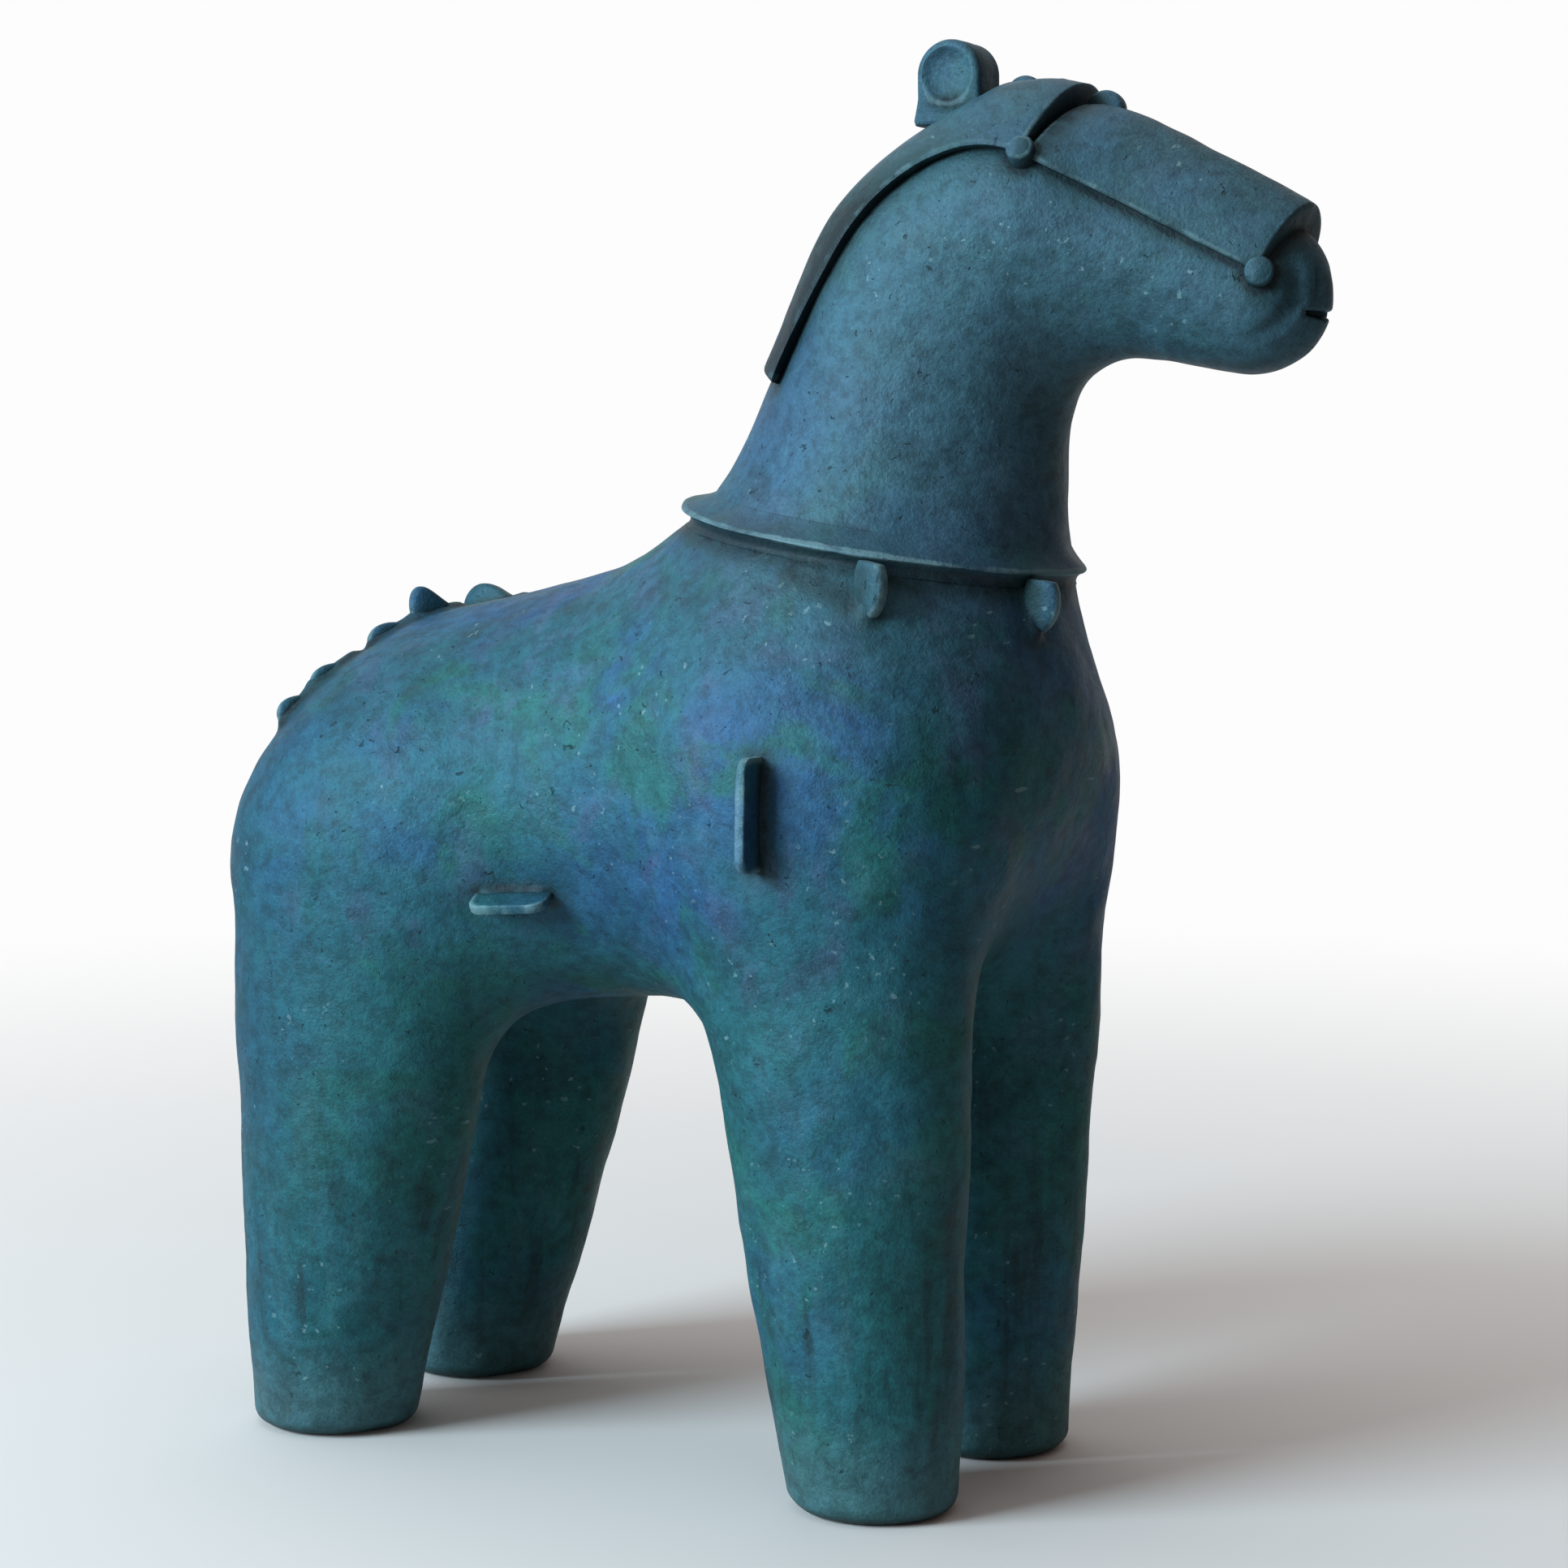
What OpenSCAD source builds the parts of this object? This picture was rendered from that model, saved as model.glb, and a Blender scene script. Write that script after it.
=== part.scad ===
// Standing horse statuette in bronze, made as a sectional hollow casting.
// The horse faces +X and stands on Z = 0; the mirror plane is XZ.
// Each casting follows one blended skin: a barrel, four legs, a neck and a head.

/* [Barrel] */
// Centre of the rump ball along the length
rump_x = -79.5; // [-81.5:1:-77.5]
// Height of the centre of the rump ball
rump_z = 151; // [149:1:153]
// Radius of the rump ball
rump_r = 47; // [45:1:48]
// Centre of the chest ball along the length
chest_x = 10.5; // [8.5:1:12.5]
// Height of the centre of the chest ball
chest_z = 163; // [161:1:165]
// Radius of the chest ball
chest_r = 55; // [53:1:56]

/* [Legs] */
// Front foot centre along the length
front_foot_x = 38.5; // [36.5:1:40.5]
// Front foot centre out from the mirror plane
front_foot_y = 30; // [29:1:32]
// Front foot radius
front_foot_r = 19; // [18:0.5:20]
// Shoulder centre along the length
shoulder_x = 31; // [29.5:0.5:32.5]
// Shoulder centre out from the mirror plane
shoulder_y = 36; // [35:1:37]
// Shoulder centre height
shoulder_z = 150; // [146:1:152]
// Shoulder radius fore and aft
shoulder_r = 32.5; // [31:0.5:34]
// Shoulder width over its length
shoulder_squash = 0.68; // [0.66:0.01:0.72]
// Rear foot centre along the length
rear_foot_x = -108; // [-109.5:0.5:-106.5]
// Rear foot centre out from the mirror plane
rear_foot_y = 31; // [30:1:33]
// Rear foot radius
rear_foot_r = 19.5; // [18.5:0.5:20.5]
// Haunch centre along the length
haunch_x = -93; // [-94.5:0.5:-91.5]
// Haunch centre out from the mirror plane
haunch_y = 38; // [37:1:39]
// Haunch centre height
haunch_z = 135; // [132:1:138]
// Haunch radius fore and aft
haunch_r = 35.5; // [34:0.5:37]
// Haunch width over its length
haunch_squash = 0.65; // [0.63:0.01:0.68]
// Rounding of the lower edge of each foot
foot_edge = 4; // [3:0.5:5]

/* [Neck and head] */
// Neck root along the length
neck_root_x = 20.5; // [19.5:1:21.5]
// Neck root height
neck_root_z = 181; // [179:1:183]
// Neck root radius
neck_root_r = 46.5; // [45:0.5:48]
// Neck top along the length
neck_top_x = 39; // [37.5:0.5:40.5]
// Neck top height
neck_top_z = 272; // [270:1:274]
// Neck top radius
neck_top_r = 29; // [28:0.5:30]
// Neck width over its length
neck_squash = 0.88; // [0.86:0.01:0.9]
// Skull centre along the length
skull_x = 67.5; // [66.5:0.5:68.5]
// Skull centre height
skull_z = 285; // [284:0.5:286]
// Skull radius
skull_r = 24.5; // [24:0.5:25]
// Muzzle centre along the length
muzzle_x = 113; // [111.5:0.5:114.5]
// Muzzle centre height
muzzle_z = 269; // [268:0.5:270]
// Muzzle radius
muzzle_r = 17.5; // [17:0.5:18]
// Head width over its height
head_squash = 0.86; // [0.84:0.01:0.88]

/* [Blending] */
// Blend between the barrel, legs and neck
body_blend = 26; // [24:1:26]
// Blend between the neck and head
head_blend = 24; // [22:1:24]

/* [Casting] */
// Wall of the hollow castings
wall = 4.5; // [3.5:0.5:5]
// Height of the joints between the legs and the body
hip_z = 92; // [88:1:94]
// Height of the collar at the middle of the neck
collar_z = 215.5; // [214:0.5:217]
// Forward tilt of the collar
collar_tilt = 8.7; // [8:0.1:9.5]
// How far the collar flange stands out from the neck
flange = 5; // [4:0.5:6]

/* [Ornament] */
// Stand of the crest along its lower edge
crest_side = 2.5; // [2:0.25:3]
// Stand of the crest down the back of the neck
crest_neck = 2.5; // [2:0.25:3.5]
// Stand of the crest along the ridge of the poll
crest_top = 5.5; // [5:0.25:6]
// Stand of the face plate along its lower edge
face_side = 1.5; // [1.25:0.25:2]
// Stand of the face plate along the ridge
face_top = 4.75; // [4:0.25:5.5]
// Diameter of the round studs on the bridle edges
stud_d = 6.4; // [5.5:0.1:7]
// Diameter of the round ears
ear_d = 15.5; // [14:0.5:17]
// Height of the shoulder fins
shoulder_fin = 25; // [22:1:28]
// Length of the flank fins
flank_fin = 19; // [17:1:22]
// How far the fins stand out
fin_stand = 8; // [6:0.5:9]
// Height of the collar pendants
pendant_h = 15; // [13:0.5:16]

/* [Hidden] */
// Sides of the outer castings, the hollows and the bridle slabs
body_sides = 68;
collar_sides = 52;
leg_sides = 32;
head_sides = 40;
hollow_sides = 24;
slab_steps = 16;
// Fine round parts and shallow domes
$fn = 48;
dome_sides = 120;
// Larger than the whole horse, for cutting away half spaces
big = 400;
// Free space between castings that meet, and round fitted pieces
seam = 0.1;
fit = 0.15;
bed = 0.6;
// Steps taken along a line to find the skin
search_steps = 60;
search_stop = 0.002;
// The collar: its centre, and the part of the neck that it takes up
collar_x = 23.5;
collar_below = 4;
collar_above = 5;
collar_crest = 2;
collar_levels = [-1, -0.6, -0.3, -0.12, 0.12, 0.3, 0.6, 1];
flange_bias = 0.3;
// Joint sleeves
leg_sleeve_d = 24;
leg_sleeve_bore = 18;
leg_sleeve_half = 12;
neck_sleeve_d = 44;
neck_sleeve_bore = 36;
neck_sleeve_half = 16;
neck_sleeve_x = 2;
neck_pin_rise = 11;
neck_pin_l = 14;
diaphragm = 13;
// Soles
sole_d = 30;
sole_t = 3;
// Pins that lock the sleeves
pin_d = 3;
pin_l = 13;
pin_drop = 6;
// Throat point round which the head sections turn
throat = [90.5, 0, 243];
throat_reach = [50, 30];
head_turn = 110;
muzzle_end = [113.5, 0, 268.5];
// Mouth and nostril cuts
mouth_in = 12;
mouth_z = 266;
mouth_gap = 1.4;
mouth_slope = 12;
nostril_turn = 24;
nostril_lean = -6;
nostril_y = 4;
nostril_z = 267.5;
nostril_w = 0.9;
nostril_h = 4.5;
// Lower edge line of the crest and face plate, in the mirror plane
mane_foot = [8.5, 0, 250];
poll_bend = [36.5, 0, 312];
brow = [67.5, 0, 298.5];
nose = [119.5, 0, 272.5];
slab_gap = 0.3;
crest_steps = 16;
crest_dip = 1.9;
face_steps = 7;
// Ears
ear_x = 43;
ear_z = 318.5;
ear_t = 6.3;
ear_parting = 0.2;
ear_dish = 11.5;
ear_dish_depth = 1.2;
tenon = 3;

front_foot = [front_foot_x, front_foot_y, 0];
shoulder = [shoulder_x, shoulder_y, shoulder_z];
rear_foot = [rear_foot_x, rear_foot_y, 0];
haunch = [haunch_x, haunch_y, haunch_z];
muzzle = [muzzle_x, 0, muzzle_z];

// The piece to draw

// ---- The blended skin ----

function smooth_min(a, b, k) =
    let (h = max(k - abs(a - b), 0))
    min(a, b) - h * h / (4 * k);

// Distance to the hull of two balls on the mirror plane, squashed across.
function hull_distance(p, a, b, ra, rb, squash) =
    let (
        pa = [p.x - a.x, p.y / squash, p.z - a.z],
        ba = b - a,
        l2 = ba * ba,
        rr = ra - rb,
        a2 = l2 - rr * rr,
        y = pa * ba,
        z = y - l2,
        q = l2 * pa - y * ba,
        x2 = q * q,
        y2 = y * y * l2,
        z2 = z * z * l2,
        k = sign(rr) * rr * rr * x2
    )
    min(1, squash) * (
        sign(z) * a2 * z2 > k ? sqrt(x2 + z2) / l2 - rb :
        sign(y) * a2 * y2 < k ? sqrt(x2 + y2) / l2 - ra :
        (sqrt(x2 * a2 / l2) + y * rr) / l2 - ra
    );

// Widening of a leg from foot to hip: nearly straight, easing off at the top.
function widen(h) = 1.25 * (h - pow(h, 5) / 5);

// Distance to a leg that is round at the foot and flattened across at the hip.
function leg_distance(p, foot, hip, r_foot, r_hip, squash) =
    let (
        h = max(0, min(1, p.z / hip.z)),
        w = widen(h),
        across = 1 + (squash - 1) * w,
        dx = p.x - foot.x - (hip.x - foot.x) * w,
        dy = (p.y - foot.y - (hip.y - foot.y) * w) / across,
        dz = max(0, p.z - hip.z)
    )
    (norm([dx, dy, dz]) - r_foot - (r_hip - r_foot) * w) * across * 0.95;

function legs_on_side(p) =
    smooth_min(
        leg_distance(p, front_foot, shoulder, front_foot_r, shoulder_r, shoulder_squash),
        leg_distance(p, rear_foot, haunch, rear_foot_r, haunch_r, haunch_squash),
        body_blend
    );

// Distance from a point to the outside of the horse, negative inside.
function skin(p) =
    let (
        barrel = hull_distance(p, [rump_x, 0, rump_z], [chest_x, 0, chest_z], rump_r, chest_r, 1),
        one_side = smooth_min(barrel, legs_on_side(p), body_blend),
        body = smooth_min(one_side, legs_on_side([p.x, -p.y, p.z]), body_blend),
        neck = hull_distance(p, [neck_root_x, 0, neck_root_z], [neck_top_x, 0, neck_top_z],
            neck_root_r, neck_top_r, neck_squash),
        head = hull_distance(p, [skull_x, 0, skull_z], muzzle, skull_r, muzzle_r, head_squash)
    )
    smooth_min(smooth_min(body, neck, body_blend), head, head_blend);

// Where a line from a point inside first comes out at the given depth,
// kept above a floor height and below the collar when those are asked for.
function edge_distance(p, rise, low, top) =
    max(skin(p) - rise, low - p.z, over_collar(p) - top);

function reach(from, way, rise, low, top, t, left) =
    let (d = edge_distance(from + t * way, rise, low, top))
    left == 0 || d > -search_stop ? t : reach(from, way, rise, low, top, t - d, left - 1);

function touch(from, way, rise, low = -big, top = big) =
    from + reach(from, way, rise, low, top, 0, search_steps) * way;

// Outward direction of the skin at a point.
function slope(p) =
    let (
        e = 0.2,
        g = [
            skin(p + [e, 0, 0]) - skin(p - [e, 0, 0]),
            skin(p + [0, e, 0]) - skin(p - [0, e, 0]),
            skin(p + [0, 0, e]) - skin(p - [0, 0, e])
        ]
    )
    g / norm(g);

// Height over the tilted plane of the collar.
function over_collar(p) =
    (p.x - collar_x) * sin(collar_tilt) + (p.z - collar_z) * cos(collar_tilt);

// ---- Building with rings ----

// Closed solid through rings with the same even number of points.
// Each ring runs anticlockwise about the way from the first ring to the last.
module ring_solid(rings) {
    n = len(rings[0]);
    last = (len(rings) - 1) * n;
    points = [for (ring = rings) each ring];
    sides = [
        for (i = [0:len(rings) - 2])
            for (j = [0:n - 1])
                let (a = i * n + j, b = i * n + (j + 1) % n)
                each [[a, b + n, b], [a, a + n, b + n]]
    ];
    start = [
        for (j = [0:n / 2 - 2])
            each [[j, j + 1, n - 2 - j], [j, n - 2 - j, n - 1 - j]]
    ];
    end = [for (f = start) [last + f[0], last + f[2], last + f[1]]];
    polyhedron(points, concat(sides, start, end));
}

module at_collar() {
    translate([collar_x, 0, collar_z])
        rotate([0, collar_tilt, 0])
            children();
}

// Half spaces to either side of the collar plane, moved up along its normal.
module above_collar(rise) {
    at_collar()
        translate([-big / 2, -big / 2, rise])
            cube(big);
}

module below_collar(rise) {
    at_collar()
        translate([-big / 2, -big / 2, rise - big])
            cube(big);
}

module below_hips() {
    translate([-big / 2, -big / 2, hip_z - big])
        cube(big);
}

// Puts a part drawn on its XY plane onto the skin: Z outward, X along the given way.
module on_skin(from, way, along) {
    p = touch(from, way / norm(way), 0);
    z = slope(p);
    flat = along - (along * z) * z;
    x = flat / norm(flat);
    y = cross(z, x);
    multmatrix([
        [x.x, y.x, z.x, p.x],
        [x.y, y.y, z.y, p.y],
        [x.z, y.z, z.z, p.z],
        [0, 0, 0, 1]
    ])
        children();
}

// ---- Trunk ----

trunk_rear_x = -83.5;
trunk_front_x = 16.5;
trunk_axis_z = 155;
trunk_cap_turn = 8;
trunk_margin = 25;
trunk_step = 7.1;

function trunk_ring(x, turn, rise, low, top, sides) = [
    for (j = [0:sides - 1])
        let (a = 360 * j / sides)
        touch([x, 0, trunk_axis_z],
            [-cos(turn), sin(turn) * cos(a), sin(turn) * sin(a)], rise, low, top)
];

function trunk_rings(rise, low, top, sides) = [
    for (turn = [2, each [trunk_cap_turn:trunk_cap_turn:86]])
        trunk_ring(trunk_rear_x, turn, rise, low, top, sides),
    for (x = [trunk_rear_x:trunk_step:trunk_front_x])
        trunk_ring(x, 90, rise, low, top, sides),
    for (turn = [each [90 + trunk_cap_turn:trunk_cap_turn:176], 178])
        trunk_ring(trunk_front_x, turn, rise, low, top, sides)
];

module trunk_shell() {
    color("darkcyan")
        difference() {
            union() {
                ring_solid(trunk_rings(0, hip_z - trunk_margin, trunk_margin, body_sides));
                leg_stubs();
            }
            ring_solid(trunk_rings(-wall, hip_z + diaphragm, -collar_below - diaphragm, hollow_sides));
            below_hips();
            above_collar(-collar_below);
            neck_sleeve_hole();
            leg_sleeve_holes();
            neck_pin_holes();
            fin_slots();
            lobe_slots();
            pendant_slots();
        }
}

// Upper ends of the legs: each ring is its height over the joint and its rise.
stub_rings = [[-1, 0], [2, 0], [6, -0.15], [14, -1.2]];

module leg_stub(foot, hip) {
    ring_solid([for (r = stub_rings) leg_ring(foot, hip, hip_z + r[0], r[1])]);
}

module leg_stubs() {
    for (left = [false, true])
        on_side(left) {
            leg_stub(front_foot, shoulder);
            leg_stub(rear_foot, haunch);
        }
}

// ---- Legs ----

// Heights of the rings of a leg, as parts of its length, and its hollow.
leg_levels = [0.09, 0.2, 0.33, 0.46, 0.59, 0.71, 0.82, 0.91, 1];
leg_hollow_d = [28, 32];

function leg_axis(foot, hip, z) =
    let (w = widen(z / hip.z))
    [foot.x + (hip.x - foot.x) * w, foot.y + (hip.y - foot.y) * w, z];

function leg_ring(foot, hip, z, rise) = [
    for (j = [0:leg_sides - 1])
        let (a = 360 * j / leg_sides)
        touch(leg_axis(foot, hip, z), [cos(a), sin(a), 0], rise)
];

module leg(foot, hip) {
    top = hip_z - seam;
    edge_rings = [
        for (a = [0:22.5:67.5])
            leg_ring(foot, hip, foot_edge * (1 - cos(a)), -foot_edge * (1 - sin(a)))
    ];
    rings = [for (h = leg_levels) leg_ring(foot, hip, h * top, 0)];
    joint = leg_axis(foot, hip, hip_z);
    bottom = leg_axis(foot, hip, 0);
    lean = [joint.x - bottom.x, joint.y - bottom.y];
    hollow_top = hip_z - diaphragm;
    difference() {
        ring_solid(concat(edge_rings, rings));
        translate(bottom)
            rotate([-atan(lean.y / hip_z), atan(lean.x / hip_z), 0])
                cylinder(h = hollow_top, d1 = leg_hollow_d[0], d2 = leg_hollow_d[1]);
        translate([bottom.x, bottom.y, -1])
            cylinder(h = sole_t + 1 + fit, d = sole_d + 2 * fit);
        translate([joint.x, joint.y, hip_z - leg_sleeve_half])
            cylinder(h = leg_sleeve_half + 1, d = leg_sleeve_d + 2 * fit);
        leg_pin(joint, fit);
    }
}

// Draws one leg part, and its mirror image when it is on the left.
module on_side(left) {
    mirror([0, left ? 0 : 1, 0])
        children();
}

module front_leg() {
    leg(front_foot, shoulder);
}

module rear_leg() {
    leg(rear_foot, haunch);
}

module front_right_leg() {
    color("darkcyan") on_side(false) front_leg();
}

module front_left_leg() {
    color("darkcyan") on_side(true) front_leg();
}

module rear_right_leg() {
    color("darkcyan") on_side(false) rear_leg();
}

module rear_left_leg() {
    color("darkcyan") on_side(true) rear_leg();
}

// ---- Leg sleeves, soles and pins ----

front_joint = leg_axis(front_foot, shoulder, hip_z);
rear_joint = leg_axis(rear_foot, haunch, hip_z);

module leg_sleeve_holes() {
    for (joint = [front_joint, rear_joint])
        for (left = [false, true])
            on_side(left) {
                translate([joint.x, joint.y, hip_z - 1])
                    cylinder(h = leg_sleeve_half + 1 + fit, d = leg_sleeve_d + 2 * fit);
                body_pin(joint, fit);
            }
}

// Pin under the joint, set in from the side that faces the other leg.
module leg_pin(joint, free) {
    inward_pin([joint.x, joint.y, hip_z - pin_drop], free);
}

// Pin over the joint, set in from the side that faces the belly.
module body_pin(joint, free) {
    inward_pin([joint.x, joint.y, hip_z + pin_drop], free);
}

module inward_pin(at, free) {
    translate([at.x, at.y - leg_sleeve_bore / 2 + free, at.z])
        rotate([90, 0, 0])
            cylinder(h = pin_l + 2 * free, d = pin_d + 2 * free);
}

module leg_sleeve(joint) {
    difference() {
        translate([joint.x, joint.y, hip_z - leg_sleeve_half + fit])
            cylinder(h = 2 * (leg_sleeve_half - fit), d = leg_sleeve_d);
        translate([joint.x, joint.y, 0])
            cylinder(h = 2 * hip_z, d = leg_sleeve_bore);
        leg_pin(joint, fit);
        body_pin(joint, fit);
    }
}

module front_right_sleeve() {
    color("peru") on_side(false) leg_sleeve(front_joint);
}

module front_left_sleeve() {
    color("peru") on_side(true) leg_sleeve(front_joint);
}

module rear_right_sleeve() {
    color("peru") on_side(false) leg_sleeve(rear_joint);
}

module rear_left_sleeve() {
    color("peru") on_side(true) leg_sleeve(rear_joint);
}

module sole(foot) {
    translate(foot)
        cylinder(h = sole_t, d = sole_d);
}

module front_right_sole() {
    color("teal") on_side(false) sole(front_foot);
}

module front_left_sole() {
    color("teal") on_side(true) sole(front_foot);
}

module rear_right_sole() {
    color("teal") on_side(false) sole(rear_foot);
}

module rear_left_sole() {
    color("teal") on_side(true) sole(rear_foot);
}

// Pins through the neck sleeve, one over and one under the collar, both at the back.
module neck_pin(rise, free) {
    at_collar()
        translate([neck_sleeve_x - neck_sleeve_bore / 2 + free, 0, rise])
            rotate([0, -90, 0])
                cylinder(h = neck_pin_l + 2 * free, d = pin_d + 2 * free);
}

module neck_pin_holes() {
    neck_pin(-neck_pin_rise, fit);
    neck_pin(neck_pin_rise, fit);
}

module cross_pins() {
    color("sienna") {
        for (joint = [front_joint, rear_joint])
            for (left = [false, true])
                on_side(left) {
                    leg_pin(joint, 0);
                    body_pin(joint, 0);
                }
        neck_pin(-neck_pin_rise, 0);
        neck_pin(neck_pin_rise, 0);
    }
}

// ---- Collar ----

module neck_sleeve_hole() {
    at_collar()
        translate([neck_sleeve_x, 0, -neck_sleeve_half - fit])
            cylinder(h = 2 * (neck_sleeve_half + fit), d = neck_sleeve_d + 2 * fit);
}

module neck_sleeve() {
    color("peru")
        difference() {
            at_collar()
                translate([neck_sleeve_x, 0, -neck_sleeve_half])
                    cylinder(h = 2 * neck_sleeve_half, d = neck_sleeve_d);
            at_collar()
                translate([neck_sleeve_x, 0, -2 * neck_sleeve_half])
                    cylinder(h = 4 * neck_sleeve_half, d = neck_sleeve_bore);
            neck_pin_holes();
        }
}

// Stand of the collar at a level from -1 below to 1 above: fillets meeting in a thin rim.
function collar_stand(level, a) =
    flange * (1 - flange_bias * cos(a)) * pow(1 - abs(level), 2);

function collar_way(a) = [cos(a) * cos(collar_tilt), sin(a), -cos(a) * sin(collar_tilt)];

function collar_centre(rise) = [
    collar_x + rise * sin(collar_tilt), 0, collar_z + rise * cos(collar_tilt)
];

function collar_ring_at(level) =
    let (low = -collar_below + seam, high = collar_above - seam,
        rise = level < 0 ? -level * low : level * high)
    [
        for (j = [0:collar_sides - 1])
            let (a = 360 * j / collar_sides,
                crest = collar_crest * pow(max(0, -cos(a)), 4) * (1 - abs(level)),
                p = touch(collar_centre(rise + crest), collar_way(a), 0))
            p + collar_stand(level, a) * collar_way(a)
    ];

module collar_ring() {
    color("cadetblue")
        difference() {
            ring_solid([for (level = collar_levels) collar_ring_at(level)]);
            neck_sleeve_hole();
        }
}

// A leaf pendant: a pointed oval plate, bedded on edge in the skin under the collar.
// The front one faces sideways; the side ones turn their front edges outward.
pendant_w = 8.6;
pendant_t = 3.4;
pendant_out = 2.2;
pendant_lean = 6;
// Start point on the neck's middle and the way out to each pendant
side_pendant_from = [16.5, 0, 204];
side_pendant_way = [25, 40, 0];
front_pendant_from = [16.5, 0, 200];
front_pendant_way = [51, -13, 0];
side_pendant_turn = 25;

module pendant_at(from, way, turn, free) {
    arc_r = (pendant_w * pendant_w + pendant_h * pendant_h) / (4 * pendant_w);
    translate(touch(from, way / norm(way), pendant_out))
        rotate([0, 0, turn]) rotate([90, -pendant_lean, 0])
            linear_extrude(height = pendant_t + 2 * free, center = true)
                intersection_for (side = [-1, 1])
                    translate([side * (arc_r - pendant_w / 2), 0])
                        circle(r = arc_r + free);
}

module side_pendant(free) {
    pendant_at(side_pendant_from, side_pendant_way, side_pendant_turn, free);
}

module front_pendant(free) {
    pendant_at(front_pendant_from, front_pendant_way, 0, free);
}

module pendant_slots() {
    on_side(false) side_pendant(fit);
    on_side(true) side_pendant(fit);
    front_pendant(fit);
}

// Pendants end where the collar ring begins.
module under_collar() {
    difference() {
        children();
        above_collar(-collar_below - bed);
    }
}

module right_collar_pendant() {
    color("cadetblue") under_collar() on_side(false) side_pendant(0);
}

module left_collar_pendant() {
    color("cadetblue") under_collar() on_side(true) side_pendant(0);
}

module front_collar_pendant() {
    color("cadetblue") under_collar() front_pendant(0);
}

// ---- Neck and head ----

function head_way(turn) = [cos(turn), 0, -sin(turn)];

function head_section(c, m, rise, sides) = [
    for (j = [0:sides - 1])
        let (a = 360 * j / sides)
        touch(c, cos(a) * m + [0, sin(a), 0], rise)
];

// Rings from the foot of the neck, round the throat and out to the lips.
function head_rings(rise, sides) = [
    for (s = [0:0.2:0.8])
        let (c = (1 - s) * [collar_x, 0, collar_z] + s * (throat - throat_reach[0] * head_way(collar_tilt)))
        head_section(c, head_way(collar_tilt), rise, sides),
    for (s = [0:0.1:1])
        let (turn = collar_tilt + s * (head_turn - collar_tilt),
            r = throat_reach[0] + s * (throat_reach[1] - throat_reach[0]))
        head_section(throat - r * head_way(turn), head_way(turn), rise, sides),
    for (s = [0.5, 1])
        let (c = (1 - s) * (throat - throat_reach[1] * head_way(head_turn)) + s * muzzle_end)
        head_section(c, head_way(head_turn), rise, sides),
    for (turn = [75:-15:15])
        head_cap(turn, rise, sides),
    head_cap(3, rise, sides)
];

function head_cap(turn, rise, sides) = [
    for (j = [0:sides - 1])
        let (a = 360 * j / sides, m = head_way(head_turn), f = head_way(head_turn - 90))
        touch(muzzle_end, sin(turn) * (cos(a) * m + [0, sin(a), 0]) + cos(turn) * f, rise)
];

module mouth_and_nostrils() {
    translate([muzzle_x + mouth_in, -muzzle_r, mouth_z])
        rotate([0, mouth_slope, 0])
            cube([muzzle_r, 2 * muzzle_r, mouth_gap]);
    for (left = [false, true])
        on_side(left)
            translate([muzzle_x + mouth_in, nostril_y, nostril_z])
                rotate([0, nostril_lean, nostril_turn])
                    cube([muzzle_r, nostril_w, nostril_h]);
}

module neck_head_shell() {
    color("darkcyan")
        difference() {
            ring_solid(head_rings(0, head_sides));
            difference() {
                ring_solid(head_rings(-wall, hollow_sides));
                below_collar(collar_above + diaphragm);
            }
            below_collar(collar_above);
            neck_sleeve_hole();
            neck_pin_holes();
            mouth_and_nostrils();
            stud_holes();
        }
}

// ---- Crest and face plate ----

function crest_point(t) =
    (1 - t) * (1 - t) * mane_foot + 2 * t * (1 - t) * poll_bend + t * t * brow;

function crest_run(t) = (1 - t) * (poll_bend - mane_foot) + t * (brow - poll_bend);

// The crest thins over the nape and thickens at the poll.
function crest_ridge(t) =
    crest_neck + (crest_top - crest_neck) * min(1, 2.2 * pow(t, 4))
    - crest_dip * sin(180 * min(1, t / 0.8));

function face_point(t) = (1 - t) * brow + t * nose;

// Away from the lower edge line, square to it in the mirror plane.
function outward(run) = [-run.z, 0, run.x] / norm(run);

function slab_arc(c, out, side, top) = [
    for (k = [0:slab_steps])
        let (a = 180 * k / slab_steps)
        touch(c, [0, cos(a), 0] + sin(a) * out, side + (top - side) * sin(a))
];

function slab_ring(c, out, side, top) =
    let (under = slab_arc(c, out, bed, bed))
    concat(
        slab_arc(c, out, side, top),
        [for (k = [slab_steps:-1:0]) under[k]]
    );

module crest_slab() {
    color("darkslategray")
        difference() {
            ring_solid([
                for (k = [0:crest_steps])
                    let (t = k / crest_steps)
                    slab_ring(crest_point(t), outward(crest_run(t)), crest_side, crest_ridge(t))
            ]);
            stud_holes();
            ear_slot();
            scallop_slots();
        }
}

// The face plate starts low at the brow and rises to its full stand over this share of it.
face_rise = 0.3;

function face_ridge(t) =
    face_side + (face_top - face_side) * (1 - pow(1 - min(1, t / face_rise), 2));

module face_plate() {
    run = nose - brow;
    start = slab_gap / norm(run);
    color("darkslategray")
        difference() {
            ring_solid([
                for (k = [0:face_steps])
                    let (t = start + (1 - start) * k / face_steps)
                    slab_ring(face_point(t) + [1, 0, 0.5] * start, outward(run), face_side, face_ridge(t))
            ]);
            stud_holes();
            scallop_slots();
        }
}

// ---- Bridle studs ----

stud_peg_d = 2.5;
brow_stud_h = 4.6;
nose_stud_h = 3.8;
stud_dome = 0.8;

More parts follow.
